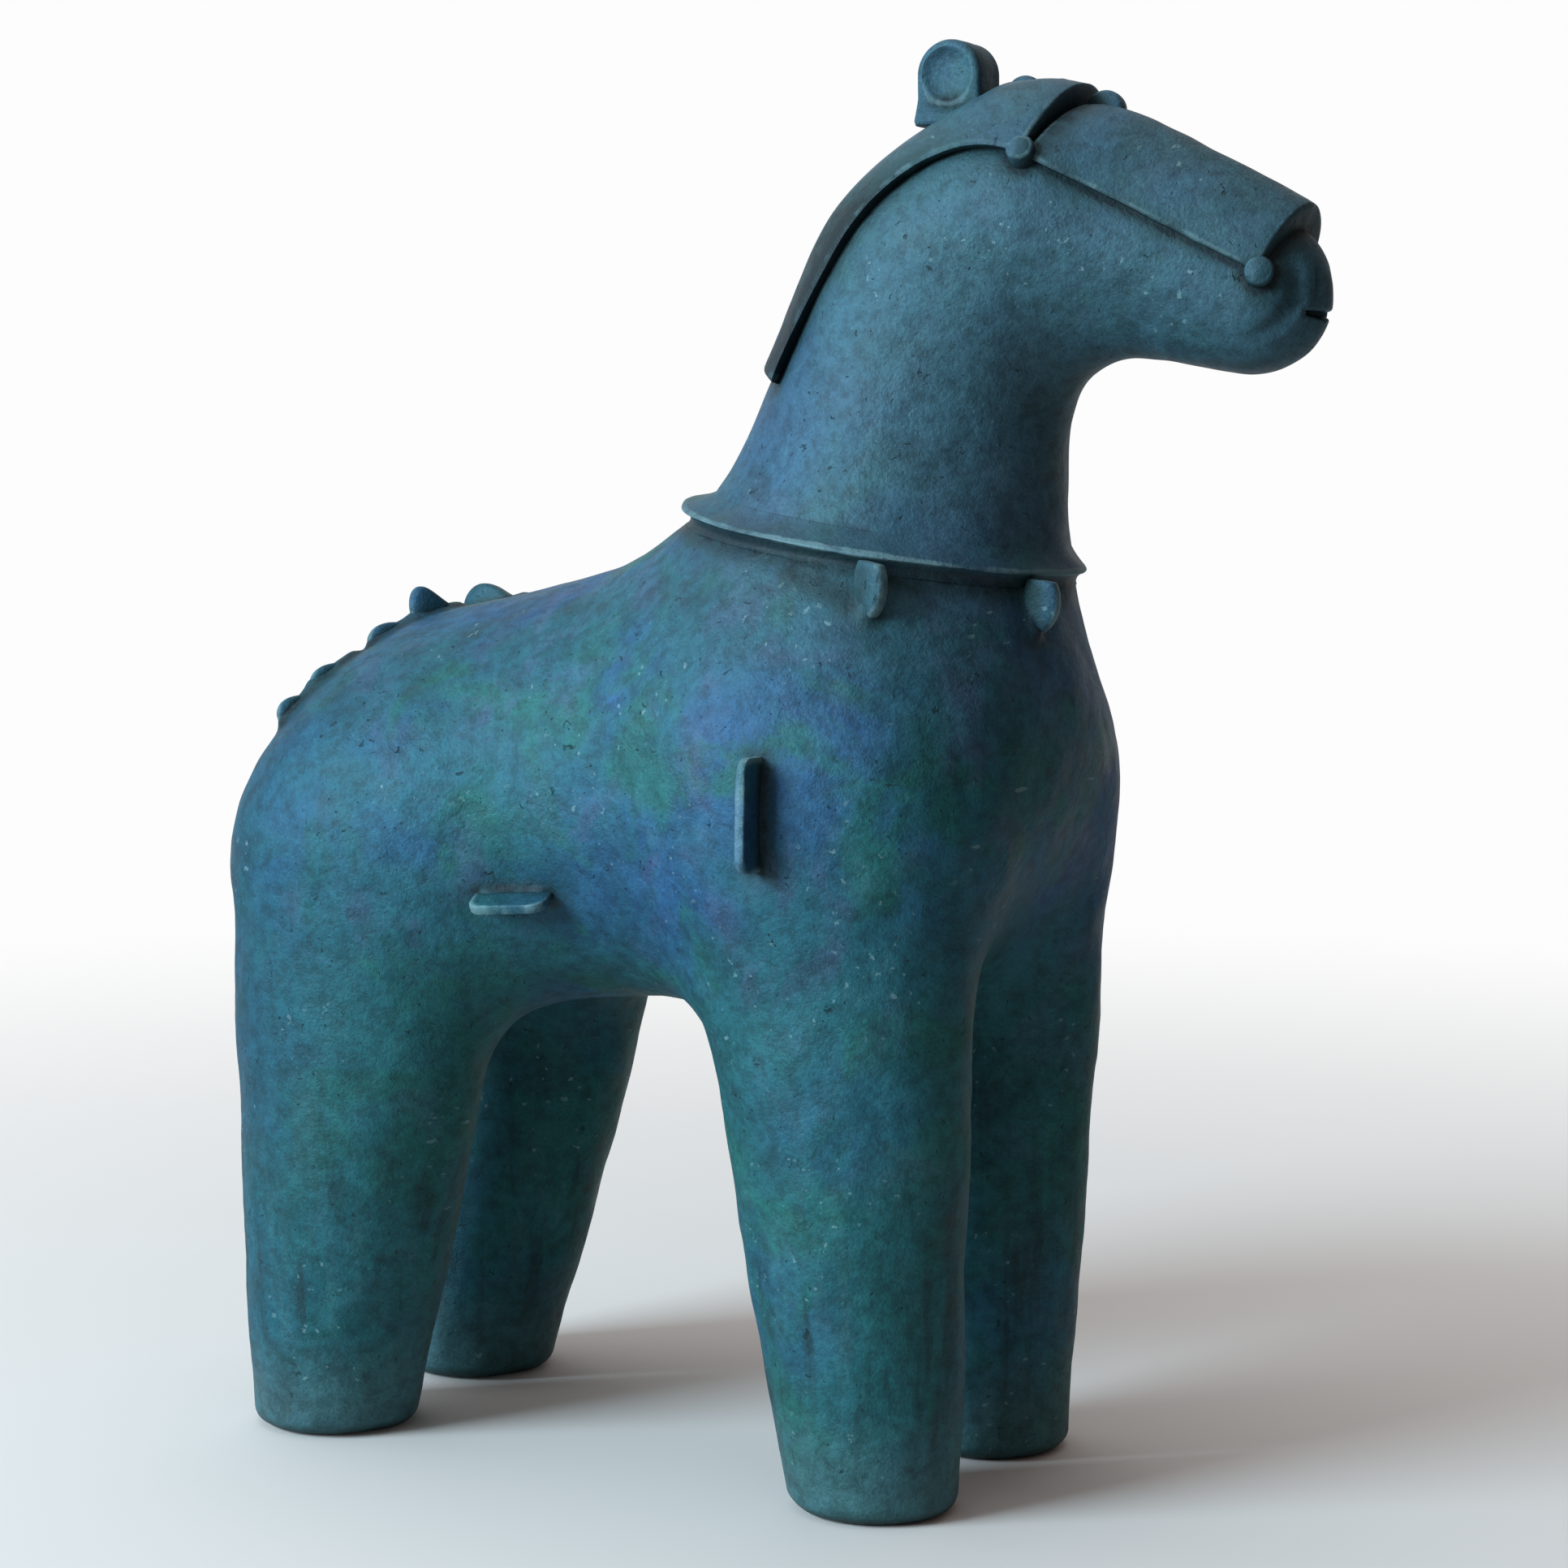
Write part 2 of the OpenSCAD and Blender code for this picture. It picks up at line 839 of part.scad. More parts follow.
// A round stud on a peg; its top is a flat dome.
module stud(h) {
    dome_r = (stud_d * stud_d / 4 + stud_dome * stud_dome) / (2 * stud_dome);
    translate([0, 0, -tenon + fit])
        cylinder(h = tenon + bed, d = stud_peg_d);
    intersection() {
        translate([0, 0, bed])
            cylinder(h = h - bed, d = stud_d);
        translate([0, 0, h - dome_r])
            sphere(r = dome_r, $fn = dome_sides);
    }
}

module stud_hole() {
    translate([0, 0, -tenon])
        cylinder(h = tenon + 1, d = stud_peg_d + 2 * fit);
    translate([0, 0, fit])
        cylinder(h = 2 * stud_d, d = stud_d + 2 * fit);
}

module at_brow_stud() {
    on_skin(brow, [0, 1, 0], [1, 0, 0])
        children();
}

module at_nose_stud() {
    on_skin(nose, [0, 1, 0], [1, 0, 0])
        children();
}

module bridle_studs() {
    color("steelblue")
        for (left = [false, true])
            on_side(left) {
                at_brow_stud() stud(brow_stud_h);
                at_nose_stud() stud(nose_stud_h);
            }
}

module stud_holes() {
    for (left = [false, true])
        on_side(left) {
            at_brow_stud() stud_hole();
            at_nose_stud() stud_hole();
        }
}

// ---- Ears ----

ear_foot_w = 14.5;
ear_foot_z = 308.5;

module ear_half() {
    dish_r = (ear_dish * ear_dish / 4 + ear_dish_depth * ear_dish_depth) / (2 * ear_dish_depth);
    difference() {
        union() {
            translate([ear_x, ear_parting / 2, ear_z])
                rotate([-90, 0, 0])
                    cylinder(h = ear_t - ear_parting / 2, d = ear_d);
            translate([ear_x - ear_foot_w / 2, ear_parting / 2, ear_foot_z])
                cube([ear_foot_w, ear_t - ear_parting / 2, ear_z - ear_foot_z]);
        }
        translate([ear_x, ear_t + dish_r - ear_dish_depth, ear_z])
            sphere(r = dish_r, $fn = dome_sides);
    }
}

// Room in the crest for the feet of both ears.
module ear_slot() {
    translate([ear_x - ear_foot_w / 2 - fit, -ear_t - fit, ear_foot_z - fit])
        cube([ear_foot_w + 2 * fit, 2 * (ear_t + fit), ear_d]);
    translate([ear_x, -ear_t - fit, ear_z])
        rotate([-90, 0, 0])
            cylinder(h = 2 * (ear_t + fit), d = ear_d + 2 * fit);
}

module right_ear() {
    color("darkcyan") on_side(false) ear_half();
}

module left_ear() {
    color("darkcyan") on_side(true) ear_half();
}

// ---- Scallops on the head and lobes on the rump ----

// A tab with a round top, standing along Z, its width along X.
module tab(w, foot, h, t) {
    rotate([90, 0, 0])
        linear_extrude(height = t, center = true) {
            translate([0, h - w / 2])
                circle(d = w);
            translate([-w / 2, foot])
                square([w, h - w / 2 - foot]);
        }
}

scallop_w = 8.6;
scallop_t = 4.5;
scallop_y = 2.5;
// Place along the head and height of each scallop
scallops = [[58.5, 8], [66.5, 6.8], [76.5, 6.4]];
scallop_from_z = 290;
scallop_run = [1, 0, -0.3];

module at_scallop(scallop) {
    on_skin([scallop[0], scallop_y, scallop_from_z], [0, 0, 1], scallop_run)
        children();
}

module poll_scallops() {
    color("teal")
        for (scallop = scallops)
            at_scallop(scallop) tab(scallop_w, bed, scallop[1], scallop_t);
}

module scallop_slots() {
    for (scallop = scallops)
        at_scallop(scallop) tab(scallop_w + 2 * fit, 0, 2 * scallop[1], scallop_t + 2 * fit);
}

// Lobes run from the croup down over the haunch: way out from the spine, length, stand, run.
lobe_run = [-1, 1.4, -1];
lobes = [
    [[-16, 15, 30], 14, 3.6, lobe_run],
    [[-24, 28, 21], 14, 3.4, lobe_run],
    [[-29, 36, 14], 12.5, 3.8, lobe_run]
];
// The top lobe differs: short and tall on the right, long and low along the back on the left.
right_top_lobe = [[-10, 8, 38], 12.5, 7.8, lobe_run];
left_top_lobe = [[-2, 8, 38], 20, 6.2, [-1, 0.1, -0.3]];
lobe_peak = 0.7;
lobe_steps = 14;
lobe_from = [-83.5, 0, 160];
lobe_t = 4;

function side_lobes(left) = concat([left ? left_top_lobe : right_top_lobe], lobes);

module at_lobe(lobe) {
    on_skin(lobe_from, lobe[0], lobe[3])
        children();
}

// Rise of a lobe along its length: a slow climb, then a round nose downhill.
function lobe_rise(u) =
    u < lobe_peak ? (1 - cos(180 * u / lobe_peak)) / 2
    : sqrt(max(0, 1 - pow((u - lobe_peak) / (1 - lobe_peak), 2)));

// A hill-shaped plate on a tenon, standing along Z, its length along X.
module lobe_plate(l, h) {
    rotate([90, 0, 0])
        linear_extrude(height = lobe_t, center = true)
            polygon([
                [l / 2, -tenon + fit],
                for (k = [lobe_steps:-1:0])
                    [l * (k / lobe_steps - 0.5), h * lobe_rise(k / lobe_steps)],
                [-l / 2, -tenon + fit]
            ]);
}

module rump_lobes(left) {
    on_side(left)
        for (lobe = side_lobes(left))
            at_lobe(lobe) lobe_plate(lobe[1], lobe[2]);
}

module lobe_slots() {
    for (left = [false, true])
        on_side(left)
            for (lobe = side_lobes(left))
                at_lobe(lobe)
                    translate([-lobe[1] / 2 - fit, -lobe_t / 2 - fit, -tenon])
                        cube([lobe[1] + 2 * fit, lobe_t + 2 * fit, 2 * lobe[2]]);
}

module right_rump_lobes() {
    color("teal") rump_lobes(false);
}

module left_rump_lobes() {
    color("teal") rump_lobes(true);
}

// ---- Fins ----

fin_t = 2.6;
fin_corner = 3.5;
shoulder_fin_from = [25.5, 0, 157.5];
flank_fin_from = [-43.5, 0, 134.5];

// A plate with two rounded outer corners and a tenon, its length along X.
module fin(l, free) {
    rotate([90, 0, 0])
        linear_extrude(height = fin_t + 2 * free, center = true) {
            translate([-l / 2 - free, -tenon + (free > 0 ? 0 : fit)])
                square([l + 2 * free, tenon + fin_stand - fin_corner - fit]);
            translate([fin_corner - l / 2, 0])
                square([l - 2 * fin_corner, fin_stand]);
            for (side = [-1, 1])
                translate([side * (l / 2 - fin_corner), fin_stand - fin_corner])
                    circle(r = fin_corner);
        }
}

module shoulder_fin_at(free) {
    on_skin(shoulder_fin_from, [0, 1, 0], [0, 0, 1])
        fin(shoulder_fin, free);
}

module flank_fin_at(free) {
    on_skin(flank_fin_from, [0, 1, 0], [1, 0, 0])
        fin(flank_fin, free);
}

module fin_slots() {
    for (left = [false, true])
        on_side(left) {
            shoulder_fin_at(fit);
            flank_fin_at(fit);
        }
}

module right_shoulder_fin() {
    color("steelblue") on_side(false) shoulder_fin_at(0);
}

module left_shoulder_fin() {
    color("steelblue") on_side(true) shoulder_fin_at(0);
}

module right_flank_fin() {
    color("steelblue") on_side(false) flank_fin_at(0);
}

module left_flank_fin() {
    color("steelblue") on_side(true) flank_fin_at(0);
}

trunk_shell();
neck_head_shell();
front_right_leg();
front_left_leg();
rear_right_leg();
rear_left_leg();
collar_ring();
right_collar_pendant();
front_collar_pendant();
left_collar_pendant();
crest_slab();
face_plate();
right_ear();
left_ear();
poll_scallops();
bridle_studs();
right_shoulder_fin();
left_shoulder_fin();
right_flank_fin();
left_flank_fin();
right_rump_lobes();
left_rump_lobes();
neck_sleeve();
front_right_sleeve();
front_left_sleeve();
rear_right_sleeve();
rear_left_sleeve();
front_right_sole();
front_left_sole();
rear_right_sole();
rear_left_sole();
cross_pins();
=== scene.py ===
"""Looks for the standing bronze horse: weathered blue-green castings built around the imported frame.

Lengths are in millimetres until a mesh is made. The horse faces +X, its left side is +Y, +Z is up.
"""

import copy
import math

import bmesh
import bpy
import numpy as np
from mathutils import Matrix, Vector


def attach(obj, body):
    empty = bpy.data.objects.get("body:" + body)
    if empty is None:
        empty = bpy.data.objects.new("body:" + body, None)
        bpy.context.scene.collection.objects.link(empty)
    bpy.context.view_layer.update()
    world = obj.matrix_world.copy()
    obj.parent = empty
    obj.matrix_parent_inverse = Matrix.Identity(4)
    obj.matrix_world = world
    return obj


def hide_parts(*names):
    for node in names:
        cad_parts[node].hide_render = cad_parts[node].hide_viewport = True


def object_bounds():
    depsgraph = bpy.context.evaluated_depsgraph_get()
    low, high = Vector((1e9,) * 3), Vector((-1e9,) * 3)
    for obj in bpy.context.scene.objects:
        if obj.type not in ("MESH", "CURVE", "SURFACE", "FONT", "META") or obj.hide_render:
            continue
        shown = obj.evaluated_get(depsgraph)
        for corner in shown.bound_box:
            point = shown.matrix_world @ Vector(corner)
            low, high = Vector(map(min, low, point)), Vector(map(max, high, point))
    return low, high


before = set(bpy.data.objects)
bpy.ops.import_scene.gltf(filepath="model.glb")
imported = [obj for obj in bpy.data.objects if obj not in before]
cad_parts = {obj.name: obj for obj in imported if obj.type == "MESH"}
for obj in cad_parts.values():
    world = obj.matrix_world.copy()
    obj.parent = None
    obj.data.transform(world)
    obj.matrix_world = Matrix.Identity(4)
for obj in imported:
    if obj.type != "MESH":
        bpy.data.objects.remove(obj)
cad_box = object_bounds()

MM = 0.001
MIRROR = np.array([1, -1, 1])
AHEAD, LEFT, UP = np.eye(3, dtype=int)

# ---- Driving sizes of the horse, as in the frame ----

RUMP, RUMP_R = (-79.5, 0, 151), 47
CHEST, CHEST_R = (10.5, 0, 163), 55
FRONT_FOOT, FRONT_FOOT_R = (38.5, 30), 19
SHOULDER, SHOULDER_R, SHOULDER_SQUASH = (31, 36, 150), 32.5, 0.68
REAR_FOOT, REAR_FOOT_R = (-108, 31), 19.5
HAUNCH, HAUNCH_R, HAUNCH_SQUASH = (-93, 38, 135), 35.5, 0.65
NECK_ROOT, NECK_ROOT_R = (20.5, 0, 181), 46.5
NECK_TOP, NECK_TOP_R, NECK_SQUASH = (39, 0, 272), 29, 0.88
SKULL, SKULL_R = (67.5, 0, 285), 24.5
MUZZLE, MUZZLE_R, HEAD_SQUASH = (113, 0, 269), 17.5, 0.86
BODY_BLEND, HEAD_BLEND = 26, 24
LEG_POWER, LEG_SLACK = 5, 0.95
FOOT_EDGE = 4
HIP_Z = 92
SOLE_R, SOLE_T = 15.15, 3.15
COLLAR = np.array([23.5, 0, 215.5])
COLLAR_TILT = math.radians(8.7)
COLLAR_UP = np.array([math.sin(COLLAR_TILT), 0, math.cos(COLLAR_TILT)])
COLLAR_BELOW, COLLAR_ABOVE = 4, 5
FLANGE, FLANGE_BIAS, COLLAR_CREST = 5, 0.3, 2
THROAT = np.array([90.5, 0, 243])
MUZZLE_END = np.array([113.5, 0, 268.5])
MANE_FOOT = np.array([8.5, 0, 250])
POLL_BEND = np.array([36.5, 0, 312])
BROW = np.array([67.5, 0, 298.5])
NOSE = np.array([119.5, 0, 272.5])
CREST_SIDE, CREST_NECK, CREST_TOP, CREST_DIP = 2.5, 2.5, 5.5, 1.9
FACE_SIDE, FACE_TOP, FACE_RISE = 1.5, 4.75, 0.3
EAR, EAR_R, EAR_T, EAR_FOOT = (43, 0, 318.5), 7.75, 6.3, 11


# ---- The blended skin ----


def smooth_min(a, b, k):
    """The lesser of two distances, blended where they differ by less than k."""
    h = np.maximum(k - np.abs(a - b), 0)
    return np.minimum(a, b) - h * h / (4 * k)


def hull_distance(p, a, b, ra, rb, squash):
    """Distance to the hull of two balls on the mirror plane, squashed across."""
    x, y, z = p[..., 0] - a[0], p[..., 1] / squash, p[..., 2] - a[2]
    bx, bz = b[0] - a[0], b[2] - a[2]
    l2 = bx * bx + bz * bz
    rr = ra - rb
    a2 = l2 - rr * rr
    along = x * bx + z * bz
    past = along - l2
    qx, qy, qz = l2 * x - along * bx, l2 * y, l2 * z - along * bz
    x2 = qx * qx + qy * qy + qz * qz
    y2, z2 = along * along * l2, past * past * l2
    k = np.sign(rr) * rr * rr * x2
    side = (np.sqrt(x2 * a2 / l2) + along * rr) / l2 - ra
    out = np.where(np.sign(along) * a2 * y2 < k, np.sqrt(x2 + y2) / l2 - ra, side)
    out = np.where(np.sign(past) * a2 * z2 > k, np.sqrt(x2 + z2) / l2 - rb, out)
    return out * min(1, squash)


def widen(h):
    """Widening of a leg, from 0 at the foot to 1 at the hip."""
    return (h - h**LEG_POWER / LEG_POWER) * LEG_POWER / (LEG_POWER - 1)


def leg_distance(p, foot, hip, r_foot, r_hip, squash):
    """Distance to a leaning leg, round at the foot and flattened across at the hip."""
    h = np.clip(p[..., 2] / hip[2], 0, 1)
    w = widen(h)
    narrow = 1 + (squash - 1) * w
    dx = p[..., 0] - foot[0] - (hip[0] - foot[0]) * w
    dy = (p[..., 1] - foot[1] - (hip[1] - foot[1]) * w) / narrow
    dz = np.maximum(0, p[..., 2] - hip[2])
    return (np.sqrt(dx * dx + dy * dy + dz * dz) - r_foot - (r_hip - r_foot) * w) * narrow * LEG_SLACK


def legs_on_side(p):
    """Distance to the two left legs, blended together."""
    front = leg_distance(p, FRONT_FOOT, SHOULDER, FRONT_FOOT_R, SHOULDER_R, SHOULDER_SQUASH)
    rear = leg_distance(p, REAR_FOOT, HAUNCH, REAR_FOOT_R, HAUNCH_R, HAUNCH_SQUASH)
    return smooth_min(front, rear, BODY_BLEND)


def skin(p):
    """Distance from points to the outside of the plain horse, negative inside."""
    out = hull_distance(p, RUMP, CHEST, RUMP_R, CHEST_R, 1)
    out = smooth_min(out, legs_on_side(p), BODY_BLEND)
    out = smooth_min(out, legs_on_side(p * MIRROR), BODY_BLEND)
    neck = hull_distance(p, NECK_ROOT, NECK_TOP, NECK_ROOT_R, NECK_TOP_R, NECK_SQUASH)
    head = hull_distance(p, SKULL, MUZZLE, SKULL_R, MUZZLE_R, HEAD_SQUASH)
    return smooth_min(smooth_min(out, neck, BODY_BLEND), head, HEAD_BLEND)


def over_collar(p):
    """Height of points over the tilted plane of the collar."""
    return (p[..., 0] - COLLAR[0]) * math.sin(COLLAR_TILT) + (p[..., 2] - COLLAR[2]) * math.cos(COLLAR_TILT)


TOUCH_STEPS, TOUCH_NEAR, SLOPE_STEP = 90, 0.001, 0.2


def touch(start, way, rise=0.0, field=skin):
    """Where lines from points inside a field first come up to a height over its surface."""
    start, way, rise = np.broadcast_arrays(
        np.asarray(start, float), np.asarray(way, float), np.asarray(rise, float)[..., None]
    )
    rise = rise[..., 0]
    way = way / np.linalg.norm(way, axis=-1, keepdims=True)
    t = np.zeros(way.shape[:-1])
    for _ in range(TOUCH_STEPS):
        d = field(start + t[..., None] * way) - rise
        t = np.where(d < -TOUCH_NEAR, t - d, t)
    return start + t[..., None] * way


def slope(p, field=skin):
    """Outward unit direction of a field at points."""
    e = SLOPE_STEP * np.eye(3)
    g = np.stack([field(p + e[i]) - field(p - e[i]) for i in range(3)], -1)
    return g / np.linalg.norm(g, axis=-1, keepdims=True)


def segment(p, a, b):
    """Distance from points to a line between two points."""
    a, b = np.asarray(a, float), np.asarray(b, float)
    h = np.clip(((p - a) @ (b - a)) / ((b - a) @ (b - a)), 0, 1)
    return np.linalg.norm(p - a - h[..., None] * (b - a), axis=-1)


def turns(count):
    """Angles evenly all round."""
    return np.linspace(0, 2 * math.pi, count, endpoint=False)


def between(first, second, angle):
    """Direction turned by an angle from one direction towards another square to it."""
    return np.cos(angle)[..., None] * first + np.sin(angle)[..., None] * second


# ---- Placing ornaments on the skin ----


class Seat:
    """A place on the skin: origin, X along the given way, Z outward."""

    def __init__(self, start, way, along):
        self.at = touch([start], [way])[0]
        self.z = slope(self.at[None])[0]
        flat = np.asarray(along, float) - np.dot(along, self.z) * self.z
        self.x = flat / np.linalg.norm(flat)
        self.y = np.cross(self.z, self.x)

    def place(self, p):
        """Points given along the seat's own axes, as points of the frame."""
        p = np.asarray(p, float)
        return self.at + p[..., :1] * self.x + p[..., 1:2] * self.y + p[..., 2:] * self.z

    def mirrored(self):
        """The seat at the same place on the horse's other side."""
        other = copy.copy(self)
        other.at, other.x, other.y, other.z = (v * MIRROR for v in (self.at, self.x, self.y, self.z))
        return other


FIN_STAND, FIN_T = 8, 2.6
FINS = {
    "shoulder": (Seat((25.5, 0, 157.5), LEFT, UP), 25),
    "flank": (Seat((-43.5, 0, 134.5), LEFT, AHEAD), 19),
}
STUD_R = 3.2
STUDS = [(Seat(BROW, LEFT, AHEAD), 4.6), (Seat(NOSE, LEFT, AHEAD), 3.8)]
LOBE_FROM, LOBE_RUN, LOBE_T, LOBE_PEAK = (-83.5, 0, 160), (-1, 1.4, -1), 4, 0.7
LOW_LOBES = [
    (Seat(LOBE_FROM, way, LOBE_RUN), length, height)
    for way, length, height in (
        ((-16, 15, 30), 14, 3.6), ((-24, 28, 21), 14, 3.4), ((-29, 36, 14), 12.5, 3.8)
    )
]
LEFT_TOP_LOBE = (Seat(LOBE_FROM, (-2, 8, 38), (-1, 0.1, -0.3)), 20, 6.2)
RIGHT_TOP_LOBE = (Seat(LOBE_FROM, (-10, 8, 38), LOBE_RUN), 12.5, 7.8)
LOBES = {
    "left": [LEFT_TOP_LOBE] + LOW_LOBES,
    "right": [(seat.mirrored(), length, height) for seat, length, height in [RIGHT_TOP_LOBE] + LOW_LOBES],
}
SCALLOP_W, SCALLOP_T, SCALLOP_SIDE, SCALLOP_FROM = 8.6, 4.5, 2.5, 290
SCALLOPS = [
    (Seat((x, SCALLOP_SIDE, SCALLOP_FROM), UP, (1, 0, -0.3)), height)
    for x, height in ((58.5, 8), (66.5, 6.8), (76.5, 6.4))
]
PENDANT_W, PENDANT_H, PENDANT_T, PENDANT_OUT, PENDANT_LEAN = 8.6, 15, 3.4, 2.2, math.radians(6)
PENDANT_TURN, PENDANT_LIFT = math.radians(25), 3
SIDE_PENDANT = touch([[16.5, 0, 204]], [[25, 40, 0]], PENDANT_OUT)[0]
FRONT_PENDANT = touch([[16.5, 0, 200]], [[51, -13, 0]], PENDANT_OUT)[0]
PENDANTS = {
    "left": (SIDE_PENDANT, PENDANT_TURN),
    "right": (SIDE_PENDANT * MIRROR, -PENDANT_TURN),
    "front": (FRONT_PENDANT, 0),
}


# ---- Lines that the ornaments follow ----


def head_way(turn):
    """Direction on the mirror plane: forward at 0, downward at a right angle."""
    return np.stack([np.cos(turn), 0 * turn, -np.sin(turn)], -1)


def crest_point(t):
    """The ridge line down the neck, from the foot of the mane at 0 to the brow at 1."""
    t = t[..., None]
    return (1 - t) ** 2 * MANE_FOOT + 2 * t * (1 - t) * POLL_BEND + t * t * BROW


def crest_out(t):
    """Direction square to the crest's ridge line, away from the neck."""
    t = t[..., None]
    run = (1 - t) * (POLL_BEND - MANE_FOOT) + t * (BROW - POLL_BEND)
    run = run / np.linalg.norm(run, axis=-1, keepdims=True)
    return np.stack([-run[..., 2], 0 * run[..., 0], run[..., 0]], -1)


def face_point(t):
    """The ridge line down the face, from the brow at 0 to the nose at 1."""
    return (1 - t[..., None]) * BROW + t[..., None] * NOSE


def face_out(t):
    """Direction square to the face's ridge line, away from the head."""
    run = (NOSE - BROW) / np.linalg.norm(NOSE - BROW)
    return np.broadcast_to(np.array([-run[2], 0, run[0]]), t.shape + (3,))


def collar_way(turn):
    """Direction along the tilted plane of the collar: ahead at 0, left at a right angle."""
    return between(head_way(COLLAR_TILT), LEFT, turn)


def collar_point(turn, rise):
    """Point of the skin all round at a height over the collar's plane."""
    return touch(COLLAR + rise[..., None] * COLLAR_UP, collar_way(turn))


def slab_sides(line, rise=0.0):
    """Lines on the skin, left and right of a ridge line."""
    return [touch(line, [side * LEFT], rise) for side in (1, -1)]


def slab_section(point, out, t, rise=0.0):
    """Line over the skin from left to right, through one place of a ridge line."""
    arc = np.linspace(0, math.pi, 50)
    t = np.full_like(arc, t)
    return touch(point(t), between(LEFT, out(t), arc), rise)


def foot_lines(seat, length, thickness, count):
    """The two long sides of a plate's foot."""
    line = np.linspace(-length / 2, length / 2, count)
    sides = (-thickness / 2, thickness / 2)
    return [seat.place(np.stack([line, 0 * line + y, 0 * line], -1)) for y in sides]


COLLAR_DIRT, COLLAR_SHADE, CREST_SHADE, PENDANT_DIRT = 2.5, 3.5, 0.5, 1.2
PENDANT_LINE = np.linspace(-5, 5, 14)[:, None] * UP
INSIDE = np.array([20, 0, 0])
EAR_RING = 6


def joint_lines():
    """Points along the joints where old patina gathers."""
    turn = turns(240)
    t = np.linspace(0, 1, 90)
    points = [collar_point(turn, 0 * turn - COLLAR_DIRT)]
    points += slab_sides(crest_point(t)) + slab_sides(face_point(t))
    points += [slab_section(crest_point, crest_out, 0), slab_section(crest_point, crest_out, 1)]
    points.append(slab_section(face_point, face_out, 1))
    for seat, length in FINS.values():
        for row in foot_lines(seat, length, FIN_T, 26):
            points += [row, row * MIRROR]
    ring = between(AHEAD, LEFT, turns(15))
    for seat, _ in STUDS:
        row = seat.place(STUD_R * ring)
        points += [row, row * MIRROR]
    for seat, length, _ in LOBES["left"] + LOBES["right"]:
        points += foot_lines(seat, length, LOBE_T, 12)
    points += [at + PENDANT_LINE - [PENDANT_DIRT, 0, 0] for at, _ in PENDANTS.values()]
    points.append(np.array(EAR) - EAR_RING * UP + EAR_RING * ring)
    return np.concatenate([p.reshape(-1, 3) for p in points])


def painted_shade_points():
    """Points under the undercut edges and beside the pendants, where painted shade and painted shadow spread
    wider.
    """
    turn = turns(200)
    nape = np.linspace(0, 1, 90)[:50]
    points = [collar_point(turn, 0 * turn - COLLAR_SHADE)]
    points += slab_sides(crest_point(nape), -CREST_SHADE)
    # painted shadow of the crest's front edge on the face plate
    points += [slab_section(face_point, face_out, t, FACE_SIDE) for t in (0.02, 0.05)]
    points.append(slab_section(face_point, face_out, 1))
    # painted shadow of the pendants on the skin beside them
    points += [touch(at + PENDANT_LINE - INSIDE, [INSIDE]) for at, _ in PENDANTS.values()]
    return np.concatenate([p.reshape(-1, 3) for p in points])


JOINTS = joint_lines()
PAINTED_SHADE_POINTS = painted_shade_points()


DISTANCE_BLOCK = 4000


def distance_to(p, points):
    """Distance from each of many places to the nearest of the points."""
    out = np.empty(len(p))
    size = (points**2).sum(1)
    for i in range(0, len(p), DISTANCE_BLOCK):
        q = p[i : i + DISTANCE_BLOCK]
        d2 = (q**2).sum(1)[:, None] + size[None] - 2 * q @ points.T
        out[i : i + DISTANCE_BLOCK] = np.sqrt(np.maximum(d2.min(1), 0))
    return out


# ---- Uneven surface of a hand-worked casting ----

WAVE_SETS = ((34, 0.22, 10), (14, 0.09, 14), (6, 0.035, 18))
WAVE_GAIN = 1.4

dice = np.random.default_rng(11)
WAVES = []
for length, height, count in WAVE_SETS:
    for _ in range(count):
        way = dice.normal(size=3)
        wave = way / np.linalg.norm(way) * (2 * math.pi / (length * dice.uniform(0.7, 1.4)))
        WAVES.append((wave, height / math.sqrt(count) * WAVE_GAIN, dice.uniform(0, 2 * math.pi)))


def lumps(p):
    """Gentle unevenness in mm, the same for every piece, so neighbours meet."""
    out = np.zeros(len(p))
    for wave, height, phase in WAVES:
        out += height * np.sin(p @ wave + phase)
    return out


def vertex_normals(v, faces):
    """Directions of the points of a mesh, from the faces round each."""
    n = np.zeros_like(v)
    for f in faces:
        flat = np.cross(v[f[:, 2]] - v[f[:, 0]], v[f[:, -1]] - v[f[:, 1]])
        for k in range(f.shape[1]):
            np.add.at(n, f[:, k], flat)
    return n / (np.linalg.norm(n, axis=1, keepdims=True) + 1e-12)


# ---- Dark joints, painted shade and shadow, and making a piece ----

LINE_W, HAZE_W, HAZE_MOST = 1.5, 6, 0.30
SHADE_W, GROUND_W, SHADE_MOST = 3.6, 2.2, 0.8


def fading(distance, width):
    return np.exp(-((distance / width) ** 2))


def joint_dirt_and_painted_shade(p):
    """Dark patina along the joints with a fainter darkening round them, painted shade under the undercut
    edges, painted shadow beside the pendants, and a painted contact shadow round the feet.
    """
    near = distance_to(p, JOINTS)
    dirt_and_shade = fading(near, LINE_W) + HAZE_MOST * fading(near, HAZE_W)
    # painted shade under the undercut edges and painted shadow beside the pendants
    dirt_and_shade = np.maximum(dirt_and_shade, SHADE_MOST * fading(distance_to(p, PAINTED_SHADE_POINTS), SHADE_W))
    # painted contact shadow, strongest where the feet meet the ground
    return np.maximum(dirt_and_shade, SHADE_MOST * fading(p[:, 2], GROUND_W))


SHARP = math.radians(50)
MERGE, CUT_NEAR = 0.02 * MM, 0.03 * MM
LOW = np.array(cad_box[0]) / MM
HIGH = np.array(cad_box[1]) / MM


